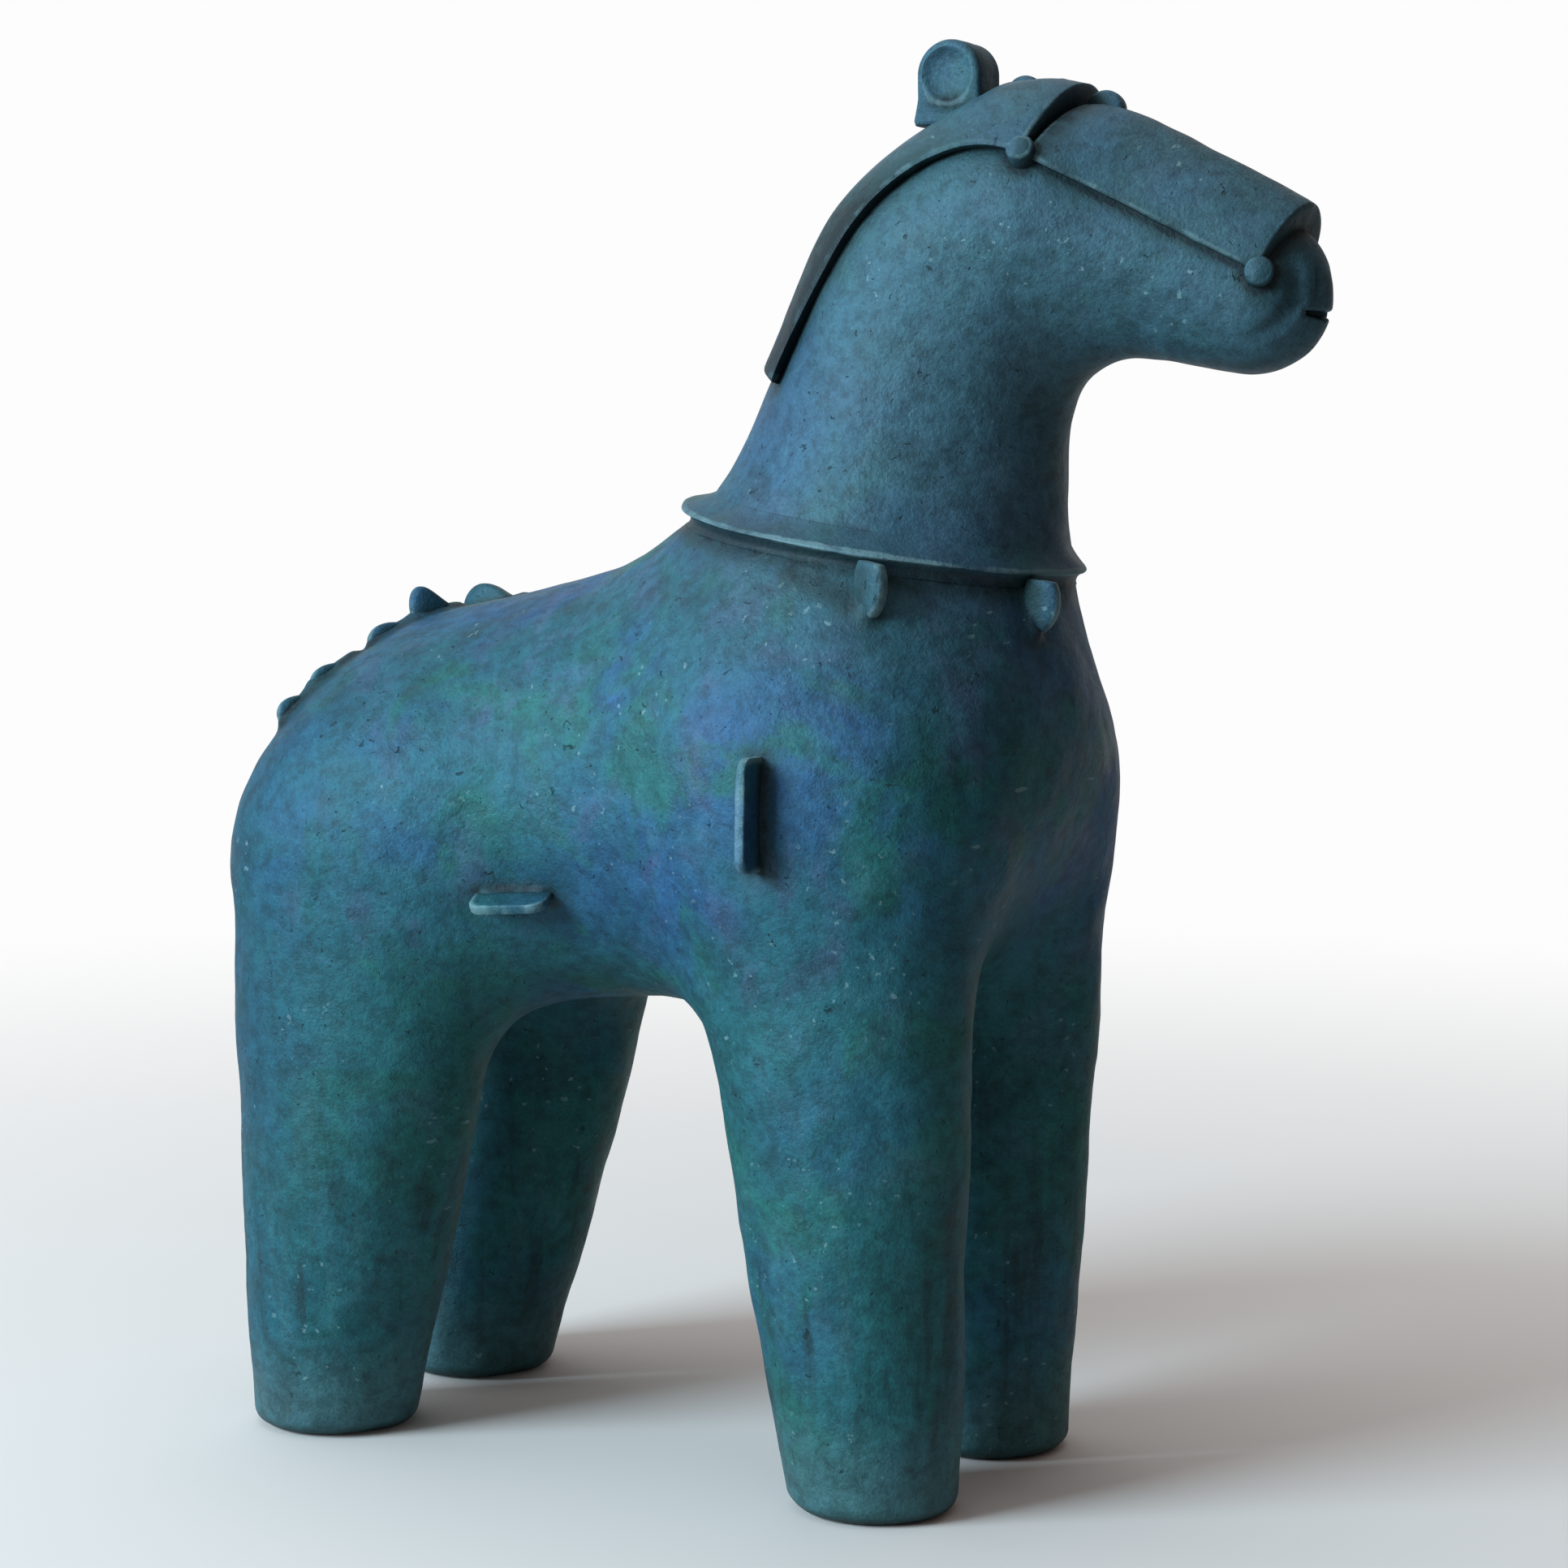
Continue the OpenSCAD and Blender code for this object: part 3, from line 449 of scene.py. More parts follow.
def cut_and_clean(mesh, cuts):
    """Merges doubled points, cuts with planes and closes the cuts, and marks the sharp edges."""
    bm = bmesh.new()
    bm.from_mesh(mesh)
    bmesh.ops.remove_doubles(bm, verts=bm.verts[:], dist=MERGE)
    for point, normal in cuts:
        geom = bm.verts[:] + bm.edges[:] + bm.faces[:]
        at = [c * MM for c in point]
        bmesh.ops.bisect_plane(
            bm, geom=geom, dist=CUT_NEAR, plane_co=at, plane_no=tuple(normal), clear_outer=True
        )
        rim = [e for e in bm.edges if e.is_boundary]
        bmesh.ops.edgeloop_fill(bm, edges=rim)
    bmesh.ops.recalc_face_normals(bm, faces=bm.faces[:])
    for edge in bm.edges:
        edge.smooth = edge.calc_face_angle(0) < SHARP
    bm.to_mesh(mesh)
    bm.free()
    mesh.polygons.foreach_set("use_smooth", [len(p.vertices) < 5 for p in mesh.polygons])


def new_object(name, data):
    thing = bpy.data.objects.new(name, data)
    bpy.context.scene.collection.objects.link(thing)
    return thing


def set_attribute(mesh, name, values):
    attribute = mesh.attributes.new(name, "FLOAT", "POINT")
    attribute.data.foreach_set("value", values.astype(np.float32))


def make_piece(name, nodes, v, faces, slot, wear=None, rough=1.0, cuts=(), extra_darkening=None):
    """A closed mesh in mm becomes a piece: faces is a list of arrays of quads or triangles."""
    out = slope(v) if cuts else vertex_normals(v, faces)
    v = np.clip(v + (rough * lumps(v))[:, None] * out, LOW, HIGH)
    mesh = bpy.data.meshes.new(name)
    mesh.from_pydata((v * MM).tolist(), [], [f for group in faces for f in group.tolist()])
    if wear is not None:
        set_attribute(mesh, "wear", wear)
    cut_and_clean(mesh, cuts)
    final = np.empty(len(mesh.vertices) * 3)
    mesh.vertices.foreach_get("co", final)
    final = final.reshape(-1, 3) / MM
    dirt_and_shade = joint_dirt_and_painted_shade(final)
    if extra_darkening is not None:
        dirt_and_shade += extra_darkening(final)
    set_attribute(mesh, "dirt_and_shade", np.clip(dirt_and_shade, 0, 1))
    mesh.materials.append(PATINAS[slot])
    piece = new_object(name, mesh)
    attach(piece, "root")
    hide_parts(*nodes)
    return piece


# ---- Building surfaces ----


def rings_to_mesh(rings):
    """Closed surface through rings, its two ends drawn together to a point."""
    rings = np.asarray(rings)
    rows, columns = rings.shape[:2]
    v = np.concatenate([rings.reshape(-1, 3), rings[0].mean(0)[None], rings[-1].mean(0)[None]])
    i, j = np.meshgrid(np.arange(rows - 1) * columns, np.arange(columns), indexing="ij")
    i, j = i.ravel(), j.ravel()
    k = (j + 1) % columns
    quads = np.stack([i + j, i + k, i + columns + k, i + columns + j], 1)
    j = np.arange(columns)
    k = (j + 1) % columns
    first, last = rows * columns, (rows - 1) * columns
    start = np.stack([k, j, np.full(columns, first)], 1)
    end = np.stack([last + j, last + k, np.full(columns, first + 1)], 1)
    return v, [quads, start, end]


def join_parts(parts):
    """Several closed surfaces as one."""
    v, faces, base = [], [], 0
    for points, groups in parts:
        v.append(points)
        faces += [g + base for g in groups]
        base += len(points)
    return np.concatenate(v), faces


RUBBED_FROM, RUBBED_OVER = 0.8, 0.17


def puffed(outline, half, power, place, steps=9):
    """A plate with worn round edges: outline points (n, 2) in its own plane, half its thickness."""
    middle = outline.mean(0)
    f = np.sin(np.linspace(0, math.pi / 2, steps)[1:])
    h = half * (1 - f**power) ** (1 / power)
    share, height = np.concatenate([f, f[-2::-1]]), np.concatenate([h, -h[-2::-1]])
    rings = [
        np.column_stack([middle + s * (outline - middle), np.full(len(outline), z)])
        for s, z in zip(share, height)
    ]
    v, faces = rings_to_mesh(rings)
    v[-2] = [*middle, half]
    v[-1] = [*middle, -half]
    wear = np.clip((np.repeat(share, len(outline)) - RUBBED_FROM) / RUBBED_OVER, 0, 1)
    return place(v), faces, np.concatenate([wear, [0, 0]])


RELAX_STEPS = 4


def surface_net(field, low, high, pitch):
    """Naive surface net of a field over a box, evened out and drawn back onto the surface."""
    axes = [np.arange(start, end + pitch, pitch) for start, end in zip(low, high)]
    values = np.empty([len(a) for a in axes], np.float32)
    yz = np.stack(np.meshgrid(axes[1], axes[2], indexing="ij"), -1)
    for i, x in enumerate(axes[0]):
        values[i] = field(np.concatenate([np.full(yz.shape[:2] + (1,), x), yz], -1))
    inside = values < 0
    shape = [n - 1 for n in values.shape]
    total = np.zeros(shape + [3], np.float32)
    count = np.zeros(shape, np.float32)
    corners = [(a, b, c) for a in (0, 1) for b in (0, 1) for c in (0, 1)]

    def at(grid, o):
        return grid[o[0] : o[0] + shape[0], o[1] : o[1] + shape[1], o[2] : o[2] + shape[2]]

    for a in corners:
        for axis in range(3):
            if a[axis]:
                continue
            b = tuple(c + (k == axis) for k, c in enumerate(a))
            va, vb = at(values, a), at(values, b)
            crossed = at(inside, a) != at(inside, b)
            t = np.where(crossed, va / np.where(crossed, va - vb, 1), 0)
            count += crossed
            for k in range(3):
                total[..., k] += crossed * (a[k] + (t if k == axis else 0))
    used = count > 0
    index = np.full(shape, -1)
    index[used] = np.arange(used.sum())
    cells = np.stack(np.nonzero(used), -1)
    v = np.array(low) + pitch * (cells + total[used] / count[used][:, None])
    quads = []
    for axis in range(3):
        b, c = (axis + 1) % 3, (axis + 2) % 3
        one = tuple(slice(1, None) if k == axis else slice(None) for k in range(3))
        two = tuple(slice(None, -1) if k == axis else slice(None) for k in range(3))
        change = inside[two] != inside[one]
        cell = np.stack(np.nonzero(change), -1)
        keep = (cell[:, b] > 0) & (cell[:, c] > 0) & (cell[:, b] < shape[b]) & (cell[:, c] < shape[c])
        cell = cell[keep]
        starts_in = inside[tuple(cell.T)]
        step_b, step_c = np.eye(3, dtype=int)[b], np.eye(3, dtype=int)[c]
        ring = [cell - step_b - step_c, cell - step_c, cell, cell - step_b]
        quad = np.stack([index[tuple(r.T)] for r in ring], 1)
        quads.append(np.where(starts_in[:, None], quad, quad[:, ::-1]))
    faces = np.concatenate(quads)
    edges = np.concatenate([faces[:, [0, 1]], faces[:, [1, 2]], faces[:, [2, 3]], faces[:, [3, 0]]])
    for _ in range(RELAX_STEPS):
        near, share = np.zeros_like(v), np.zeros(len(v))
        np.add.at(near, edges[:, 0], v[edges[:, 1]])
        np.add.at(share, edges[:, 0], 1)
        moved = share > 0
        v[moved] = (v[moved] + near[moved] / share[moved][:, None]) / 2
        v = v - field(v)[:, None] * slope(v, field)
    return v, [faces]


# ---- Patina ----


class Graph:
    """Small helper that adds shader nodes to a material or world and links them."""

    def __init__(self, owner):
        owner.use_nodes = True
        self.nodes, self.links = owner.node_tree.nodes, owner.node_tree.links
        self.nodes.clear()

    def add(self, kind, inputs=(), **settings):
        node = self.nodes.new(kind)
        for key, value in settings.items():
            setattr(node, key, value)
        for key, value in dict(inputs).items():
            if isinstance(value, bpy.types.NodeSocket):
                self.links.new(value, node.inputs[key])
            else:
                node.inputs[key].default_value = value
        return node

    def noise(self, vector, size_mm, detail, rough, seed, distortion=0.0):
        """4D noise whose features are about size_mm long."""
        inputs = {"Vector": vector, "Scale": 1000 / size_mm, "Detail": detail, "Roughness": rough,
                  "W": seed, "Distortion": distortion}
        return self.add("ShaderNodeTexNoise", inputs, noise_dimensions="4D").outputs["Fac"]

    def ramp(self, value, low, high, out_low=0.0, out_high=1.0):
        """A smooth step from one number to another as a value goes from low to high."""
        inputs = {"Value": value, "From Min": low, "From Max": high, "To Min": out_low, "To Max": out_high}
        return self.add("ShaderNodeMapRange", inputs, interpolation_type="SMOOTHSTEP").outputs["Result"]

    def math(self, operation, a, b=0.0):
        return self.add("ShaderNodeMath", {0: a, 1: b}, operation=operation).outputs[0]

    def mix(self, factor, a, b, blend="MIX"):
        inputs = {0: factor, 6: a, 7: b}
        return self.add("ShaderNodeMix", inputs, data_type="RGBA", blend_type=blend).outputs[2]

    def finish(self, colour, roughness, height, depth, strength, **look):
        """The bumped surface shader and the material's output."""
        bump = self.add("ShaderNodeBump", {"Height": height, "Strength": strength, "Distance": depth})
        inputs = {"Base Color": colour, "Roughness": roughness, "Normal": bump.outputs[0], **look}
        shader = self.add("ShaderNodeBsdfPrincipled", inputs)
        self.add("ShaderNodeOutputMaterial", {0: shader.outputs[0]})

    def tone(self, colour, value):
        """A colour made lighter or darker by a number."""
        grey = self.add("ShaderNodeCombineColor", {0: value, 1: value, 2: value}).outputs[0]
        return self.mix(1.0, colour, grey, "MULTIPLY")


TEAL = (0.010, 0.074, 0.104, 1)
BLUE = (0.013, 0.064, 0.146, 1)
GREEN = (0.008, 0.084, 0.078, 1)
VIOLET = (0.040, 0.064, 0.128, 1)
GREY = (0.031, 0.078, 0.104, 1)
# colour of the painted shade on the rump's back end
PAINTED_RUMP_SHADE = (0.004, 0.050, 0.084, 1)
DARK = (0.004, 0.010, 0.014, 1)
# colour of the dark joints and of the painted shade and shadow
GRIME_AND_SHADE = (0.009, 0.030, 0.031, 1)
PALE = (0.150, 0.260, 0.285, 1)
DARK_RUN, PALE_RUN, FOOT_RUB = (0.007, 0.028, 0.034, 1), (0.030, 0.098, 0.112, 1), (0.046, 0.108, 0.118, 1)
BRONZE_LIGHT, BRONZE_DARK = (0.38, 0.22, 0.10, 1), (0.22, 0.13, 0.07, 1)

# Where tints and the rump's painted shade come in and are full, in metres: forward from the middle, or up
# from the ground.
FORE_X, RUMP_SHADE_X = (-0.03, 0.05), (-0.070, -0.125)
FORE_Z, LEG_Z, RUN_Z, FOOT_Z = (0.150, 0.235), (0.140, 0.095), (0.13, 0.03), (0.030, 0.006)


def runs(g, place, height, colour, amount):
    """Dark and pale streaks down the legs, and feet rubbed paler at the ground."""
    tall = g.add("ShaderNodeMapping", {0: place, "Scale": (1.0, 1.0, 0.11)}).outputs[0]
    streak = g.noise(tall, 5.5, 5.0, 0.6, 4.0)
    low = g.ramp(height, *RUN_Z)
    dark_streak = g.math("MULTIPLY", g.ramp(streak, 0.50, 0.66, 0.0, amount), low)
    colour = g.mix(dark_streak, colour, DARK_RUN)
    light_streak = g.math("MULTIPLY", g.ramp(streak, 0.48, 0.34, 0.0, 0.5 * amount), low)
    colour = g.mix(light_streak, colour, PALE_RUN)
    return g.mix(g.ramp(height, *FOOT_Z, 0.0, 0.6), colour, FOOT_RUB)


def patina(name, green=0.0, streaks=0.0, worn=0.4, dark=0.85):
    """Mottled mineral patina over bronze: tints, grain, pits, streaks, dark joints with painted shade and
    painted shadow, painted shade on the rump, and worn edges.
    """
    material = bpy.data.materials.new(name)
    g = Graph(material)
    place = g.add("ShaderNodeTexCoord").outputs["Object"]
    parts = g.add("ShaderNodeSeparateXYZ", {0: place}).outputs
    forward, height = parts["X"], parts["Z"]

    wide = g.noise(place, 62, 3.0, 0.5, 1.0, 0.4)
    patch = g.noise(place, 30, 5.0, 0.55, 5.0, 0.8)
    other = g.noise(place, 26, 5.0, 0.6, 9.0, 0.8)
    cloud = g.noise(place, 11, 6.0, 0.62, 3.0, 0.3)
    mottle = g.noise(place, 3.4, 6.0, 0.66, 7.0)
    grain = g.noise(place, 0.75, 3.0, 0.7, 2.0)

    colour = g.mix(g.ramp(wide, 0.44, 0.60), TEAL, BLUE)
    colour = g.mix(g.ramp(patch, 0.50 - green, 0.64 - green, 0.0, 0.85), colour, GREEN)
    colour = g.mix(g.ramp(other, 0.52, 0.68, 0.0, 0.6), colour, VIOLET)
    colour = g.mix(g.ramp(cloud, 0.50, 0.74, 0.0, 0.4), colour, GREY)
    fore = g.math("MULTIPLY", g.ramp(forward, *FORE_X, 0.25, 1.0), g.ramp(height, *FORE_Z, 0.0, 0.8))
    colour = g.mix(fore, colour, GREY)
    colour = g.mix(g.ramp(height, *LEG_Z, 0.0, 0.5), colour, GREEN)
    # painted shade: the rump darkened towards its back end
    colour = g.mix(g.ramp(forward, *RUMP_SHADE_X, 0.0, 0.7), colour, PAINTED_RUMP_SHADE)

    if streaks:
        colour = runs(g, place, height, colour, streaks)

    colour = g.tone(colour, g.ramp(cloud, 0.28, 0.72, 0.80, 1.20))
    colour = g.tone(colour, g.ramp(mottle, 0.30, 0.70, 0.70, 1.30))
    colour = g.tone(colour, g.ramp(grain, 0.25, 0.75, 0.80, 1.20))

    speck = g.noise(place, 2.1, 3.0, 0.55, 17.0, 1.2)
    pit = g.ramp(speck, 0.335, 0.285)
    colour = g.mix(g.math("MULTIPLY", pit, 0.6), colour, DARK)

    bent = g.add("ShaderNodeMapping", {0: place, "Rotation": (0.5, 0.9, 0.3), "Scale": (1.0, 0.22, 1.0)})
    flakes = g.noise(bent.outputs[0], 1.9, 2.0, 0.5, 12.0)
    where = g.noise(place, 24, 2.0, 0.5, 14.0)
    fleck = g.math("MULTIPLY", g.ramp(flakes, 0.665, 0.70), g.ramp(where, 0.50, 0.58))
    colour = g.mix(g.math("MULTIPLY", fleck, 0.5), colour, PALE)

    # dark joints, painted shade under undercut edges and painted contact shadow at the ground, made ragged by
    # the mottle
    dirt_and_shade = g.add("ShaderNodeAttribute", attribute_name="dirt_and_shade").outputs["Fac"]
    ragged = g.math("ADD", dirt_and_shade, g.ramp(mottle, 0.3, 0.7, -0.30, 0.22))
    colour = g.mix(g.ramp(ragged, 0.05, 0.45, 0.0, 0.6), colour, GRIME_AND_SHADE)
    colour = g.mix(g.ramp(ragged, 0.40, 1.0, 0.0, dark), colour, DARK)
    wear = g.add("ShaderNodeAttribute", attribute_name="wear").outputs["Fac"]
    rubbed = g.math("ADD", wear, g.ramp(cloud, 0.35, 0.65, -0.75, 0.10))
    colour = g.mix(g.ramp(rubbed, 0.15, 1.0, 0.0, worn), colour, PALE)

    roughness = g.ramp(cloud, 0.3, 0.7, 0.50, 0.66)
    uneven = g.math("ADD", g.math("MULTIPLY", mottle, 0.45), g.math("MULTIPLY", grain, 0.16))
    uneven = g.math("SUBTRACT", uneven, g.math("MULTIPLY", pit, 0.30))
    g.finish(colour, roughness, uneven, 0.0011, 1.0, **{"Metallic": 0.25, "Specular IOR Level": 0.25})
    return material


def bare_bronze():
    """Plain sawn bronze of the hidden sleeves and pins."""
    material = bpy.data.materials.new("bare_bronze")
    g = Graph(material)
    place = g.add("ShaderNodeTexCoord").outputs["Object"]
    cloud = g.noise(place, 9, 5.0, 0.6, 1.0)
    grain = g.noise(place, 0.6, 3.0, 0.6, 2.0)
    colour = g.mix(g.ramp(cloud, 0.35, 0.65), BRONZE_LIGHT, BRONZE_DARK)
    roughness = g.ramp(cloud, 0.3, 0.7, 0.3, 0.5)
    g.finish(colour, roughness, grain, 0.0002, 0.4, Metallic=1.0)
    return material


PATINAS = {
    "patina_shell": patina("patina_shell"),
    "patina_leg": patina("patina_leg", green=0.05, streaks=0.75),
    "patina_edge": patina("patina_edge", green=0.03, worn=0.55, dark=0.7),
}
DARK_PATINA = patina("patina_dark", green=0.02, worn=0.1)
BRONZE = bare_bronze()

# ---- Trunk ----

SWELL_BLEND, FIN_SHRINK, FIN_ENDS, FIN_RAISE = 4.0, 1.0, 3, 2
LOBE_SWELL_R, LEAF_SWELL_R = 1.2, 0.6
SEAM_OVERLAP = 0.6


def trunk_field(p):
    """The skin, swelling a little where fins, lobes and pendants grow out of it."""
    out = skin(p)
    for seat, length in FINS.values():
        half = length / 2 - FIN_ENDS
        for s in (seat, seat.mirrored()):
            fin = segment(p, s.place([-half, 0, FIN_RAISE]), s.place([half, 0, FIN_RAISE])) - FIN_T / 2
            out = smooth_min(out, fin + FIN_SHRINK, SWELL_BLEND)
    for seat, length, _ in LOBES["left"] + LOBES["right"]:
        lobe = segment(p, seat.place([1 - length / 2, 0, 0]), seat.place([length / 2 - 2, 0, 0.4]))
        out = smooth_min(out, lobe - LOBE_SWELL_R, SWELL_BLEND)
    for at, _ in PENDANTS.values():
        leaf = segment(p, at - [1, 0, 4], at + [-1, 0, 5])
        out = smooth_min(out, leaf - LEAF_SWELL_R, SWELL_BLEND)
    return out


TRUNK_LOW, TRUNK_HIGH = (-134, -66, 84), (80, 66, 226)
PITCH = 1.2
v, faces = surface_net(trunk_field, TRUNK_LOW, TRUNK_HIGH, PITCH)
trunk_end = COLLAR - (COLLAR_BELOW - SEAM_OVERLAP) * COLLAR_UP
make_piece(
    "trunk", ["trunk_shell"], v, faces, "patina_shell",
    cuts=[((0, 0, HIP_Z), (0, 0, -1)), (trunk_end, COLLAR_UP)],
)

# ---- Legs ----

LEG_SIDES, LEG_RINGS, EDGE_RINGS, LEG_SPARE = 120, 78, 7, 3


def leg_axis(foot, hip, z):
    """Middle of a leg at a height."""
    w = widen(z / hip[2])
    return np.array([[foot[0] + (hip[0] - foot[0]) * w, foot[1] + (hip[1] - foot[1]) * w, z]])


def leg_mesh(foot, hip, side):
    """A leg from the socket for its sole, round the foot's edge and up past the hip cut."""
    ring = between(AHEAD, LEFT, turns(LEG_SIDES))
    ground = np.array([*foot, 0.0])
    socket_top = ground + SOLE_T * UP
    rings = [socket_top + SOLE_R * 0.5 * ring, socket_top + SOLE_R * ring, ground + SOLE_R * ring]
    for a in np.linspace(0, math.pi / 2, EDGE_RINGS, endpoint=False):
        at = leg_axis(foot, hip, FOOT_EDGE * (1 - math.cos(a)))
        rings.append(touch(at, ring, -FOOT_EDGE * (1 - math.sin(a))))
    for z in np.linspace(FOOT_EDGE, HIP_Z + LEG_SPARE, LEG_RINGS):
        rings.append(touch(leg_axis(foot, hip, z), ring))
    rings = np.array(rings) * np.array([1, side, 1])
    if side < 0:
        rings = rings[:, ::-1]
    return rings_to_mesh(rings)


for place, foot, hip in (("front", FRONT_FOOT, SHOULDER), ("rear", REAR_FOOT, HAUNCH)):
    for hand, side in (("left", 1), ("right", -1)):
        v, faces = leg_mesh(foot, hip, side)
        name = f"{place}_{hand}_leg"
        make_piece(f"{name}_casting", [name], v, faces, "patina_leg", cuts=[((0, 0, HIP_Z), (0, 0, 1))])

# ---- Collar ----

COLLAR_SIDES = 300
LIP, LIP_STAND, LIP_ROUND = 0.1, 0.80, 0.08
FILLET_ABOVE, FILLET_BELOW = 1.5, 2.6
COLLAR_BED, COLLAR_CORE, COLLAR_WAVER = 0.8, 0.8, 0.07


def collar_ring(level, turn):
    """One ring of the collar, from -1 at its lower edge over the lip at 0 to 1 at its upper edge."""
    rise = level * (COLLAR_BELOW if level < 0 else COLLAR_ABOVE)
    hump = COLLAR_CREST * np.maximum(0, -np.cos(turn)) ** 4 * (1 - abs(level))
    waver = 1 + COLLAR_WAVER * np.sin(3 * turn + 0.6) * np.sin(7 * turn + 1.9)
    fillet = (1 - abs(level)) ** (FILLET_ABOVE if level > 0 else FILLET_BELOW)
    if abs(level) <= LIP:
        fillet = LIP_STAND + LIP_ROUND * math.sqrt(1 - (level / LIP) ** 2 * 0.98)
    stand = FLANGE * (1 - FLANGE_BIAS * np.cos(turn)) * fillet * waver
    if abs(level) == 1:
        stand = 0 * turn - COLLAR_BED
    return collar_point(turn, rise + hump) + stand[:, None] * collar_way(turn)


def lip_wear(level):
    """How far a ring of the collar is rubbed."""
    return np.full(COLLAR_SIDES, 1.0 if abs(level) <= 0.14 else max(0, 0.5 - abs(level)))


turn = turns(COLLAR_SIDES)
levels = np.concatenate([
    [-1.0], -np.linspace(0.97, 0.14, 12), np.linspace(-LIP, LIP, 7), np.linspace(0.14, 0.97, 12), [1.0]
])
rings = [collar_ring(level, turn) for level in levels]
inner = [COLLAR + COLLAR_CORE * (ring - COLLAR) for ring in (rings[0], rings[-1])]
v, faces = rings_to_mesh([inner[0]] + rings + [inner[1]])
wear = [np.zeros(COLLAR_SIDES)] + [lip_wear(level) for level in levels] + [np.zeros(COLLAR_SIDES + 2)]
make_piece("collar", ["collar_ring"], v, faces, "patina_edge", np.concatenate(wear), rough=0.6)

# ---- Neck and head ----

WING_LINE = [(123.5, 12.2, 280), (127.0, 10.6, 274), (127.3, 10.4, 267), (122.5, 12.6, 260), (115, 14.5, 256)]
WING_R, WING_EDGE = 1.5, 2.4
NOSTRIL_TOP, NOSTRIL_FOOT, NOSTRIL_R, NOSTRIL_EDGE = (129.2, 4.2, 273.2), (129.5, 4.9, 268), 0.55, 0.9
MOUTH_X, MOUTH_Z, MOUTH_FALL, MOUTH_EDGE = 125, 264.6, 0.12, 1.0
MOUTH_HALF, MOUTH_FLARE, MOUTH_CURL = 0.35, 0.07, 0.35


def smooth_cut(out, cutter, k):
    """Takes a shape away from a field, with a rounded edge."""
    return -smooth_min(-out, cutter, k)


def head_field(p):
    """The skin with the muzzle's creases: nostril wings, nostril slits, and the mouth."""
    out = skin(p)
    folded = np.stack([p[..., 0], np.abs(p[..., 1]), p[..., 2]], -1)
    for a, b in zip(WING_LINE[:-1], WING_LINE[1:]):
        out = smooth_cut(out, segment(folded, a, b) - WING_R, WING_EDGE)
    out = smooth_cut(out, segment(folded, NOSTRIL_TOP, NOSTRIL_FOOT) - NOSTRIL_R, NOSTRIL_EDGE)
    ahead = p[..., 0] - MOUTH_X
    mouth = np.abs(p[..., 2] - MOUTH_Z + MOUTH_FALL * ahead) - MOUTH_HALF
    mouth = mouth - MOUTH_FLARE * np.maximum(0, ahead)
    mouth = np.maximum(mouth, MOUTH_CURL * np.abs(p[..., 1]) - ahead)
    return smooth_cut(out, mouth, MOUTH_EDGE)
HEAD_SIDES = 176
HEAD_TURN = math.radians(110)
BACK_REACH, CHIN_REACH = 50, 30


def head_section(centre, way, field=skin):
    """Ring where the plane of a direction and the horse's left, through a point, meets a field."""
    return touch(centre[None], between(way, LEFT, turns(HEAD_SIDES)), field=field)


def neck_and_head_rings():
    """Rings up the neck, turning about the throat, along the head and in over the muzzle."""
    base, chin = head_way(COLLAR_TILT), head_way(HEAD_TURN)
    rings = []
    neck_end = THROAT - BACK_REACH * base
    for s in np.linspace(0, 1, 22, endpoint=False):
        rings.append(head_section((1 - s) * COLLAR + s * neck_end, base))
    for s in np.linspace(0, 1, 90):
        way = head_way(COLLAR_TILT + s * (HEAD_TURN - COLLAR_TILT))
        reach = BACK_REACH + s * (CHIN_REACH - BACK_REACH)
        rings.append(head_section(THROAT - reach * way, way))
    throat_end = THROAT - CHIN_REACH * chin
    for s in np.linspace(0, 1, 26)[1:]:
        rings.append(head_section((1 - s) * throat_end + s * MUZZLE_END, chin, head_field))
    forward = head_way(HEAD_TURN - math.pi / 2)
    for angle in np.radians(np.linspace(88, 1.5, 46)):
        way = math.sin(angle) * between(chin, LEFT, turns(HEAD_SIDES)) + math.cos(angle) * forward
        rings.append(touch(MUZZLE_END[None], way, field=head_field))
    return rings


v, faces = rings_to_mesh(neck_and_head_rings())
neck_end = COLLAR + (COLLAR_ABOVE - SEAM_OVERLAP) * COLLAR_UP
make_piece(
    "neck_and_head", ["neck_head_shell"], v, faces, "patina_shell", rough=0.7,
    cuts=[(neck_end, -COLLAR_UP)],
)

# ---- Crest and face plate ----

ARC_STEPS = 96
SLAB_BED, SLAB_TUCK, END_ROWS = 1.2, 0.6, 3.0
WORN_AT, WORN_W, WORN_FADE, WORN_MOST = 0.9, 0.35, 0.05, 0.9
END_WORN_ROWS, END_WORN = 5, 0.8


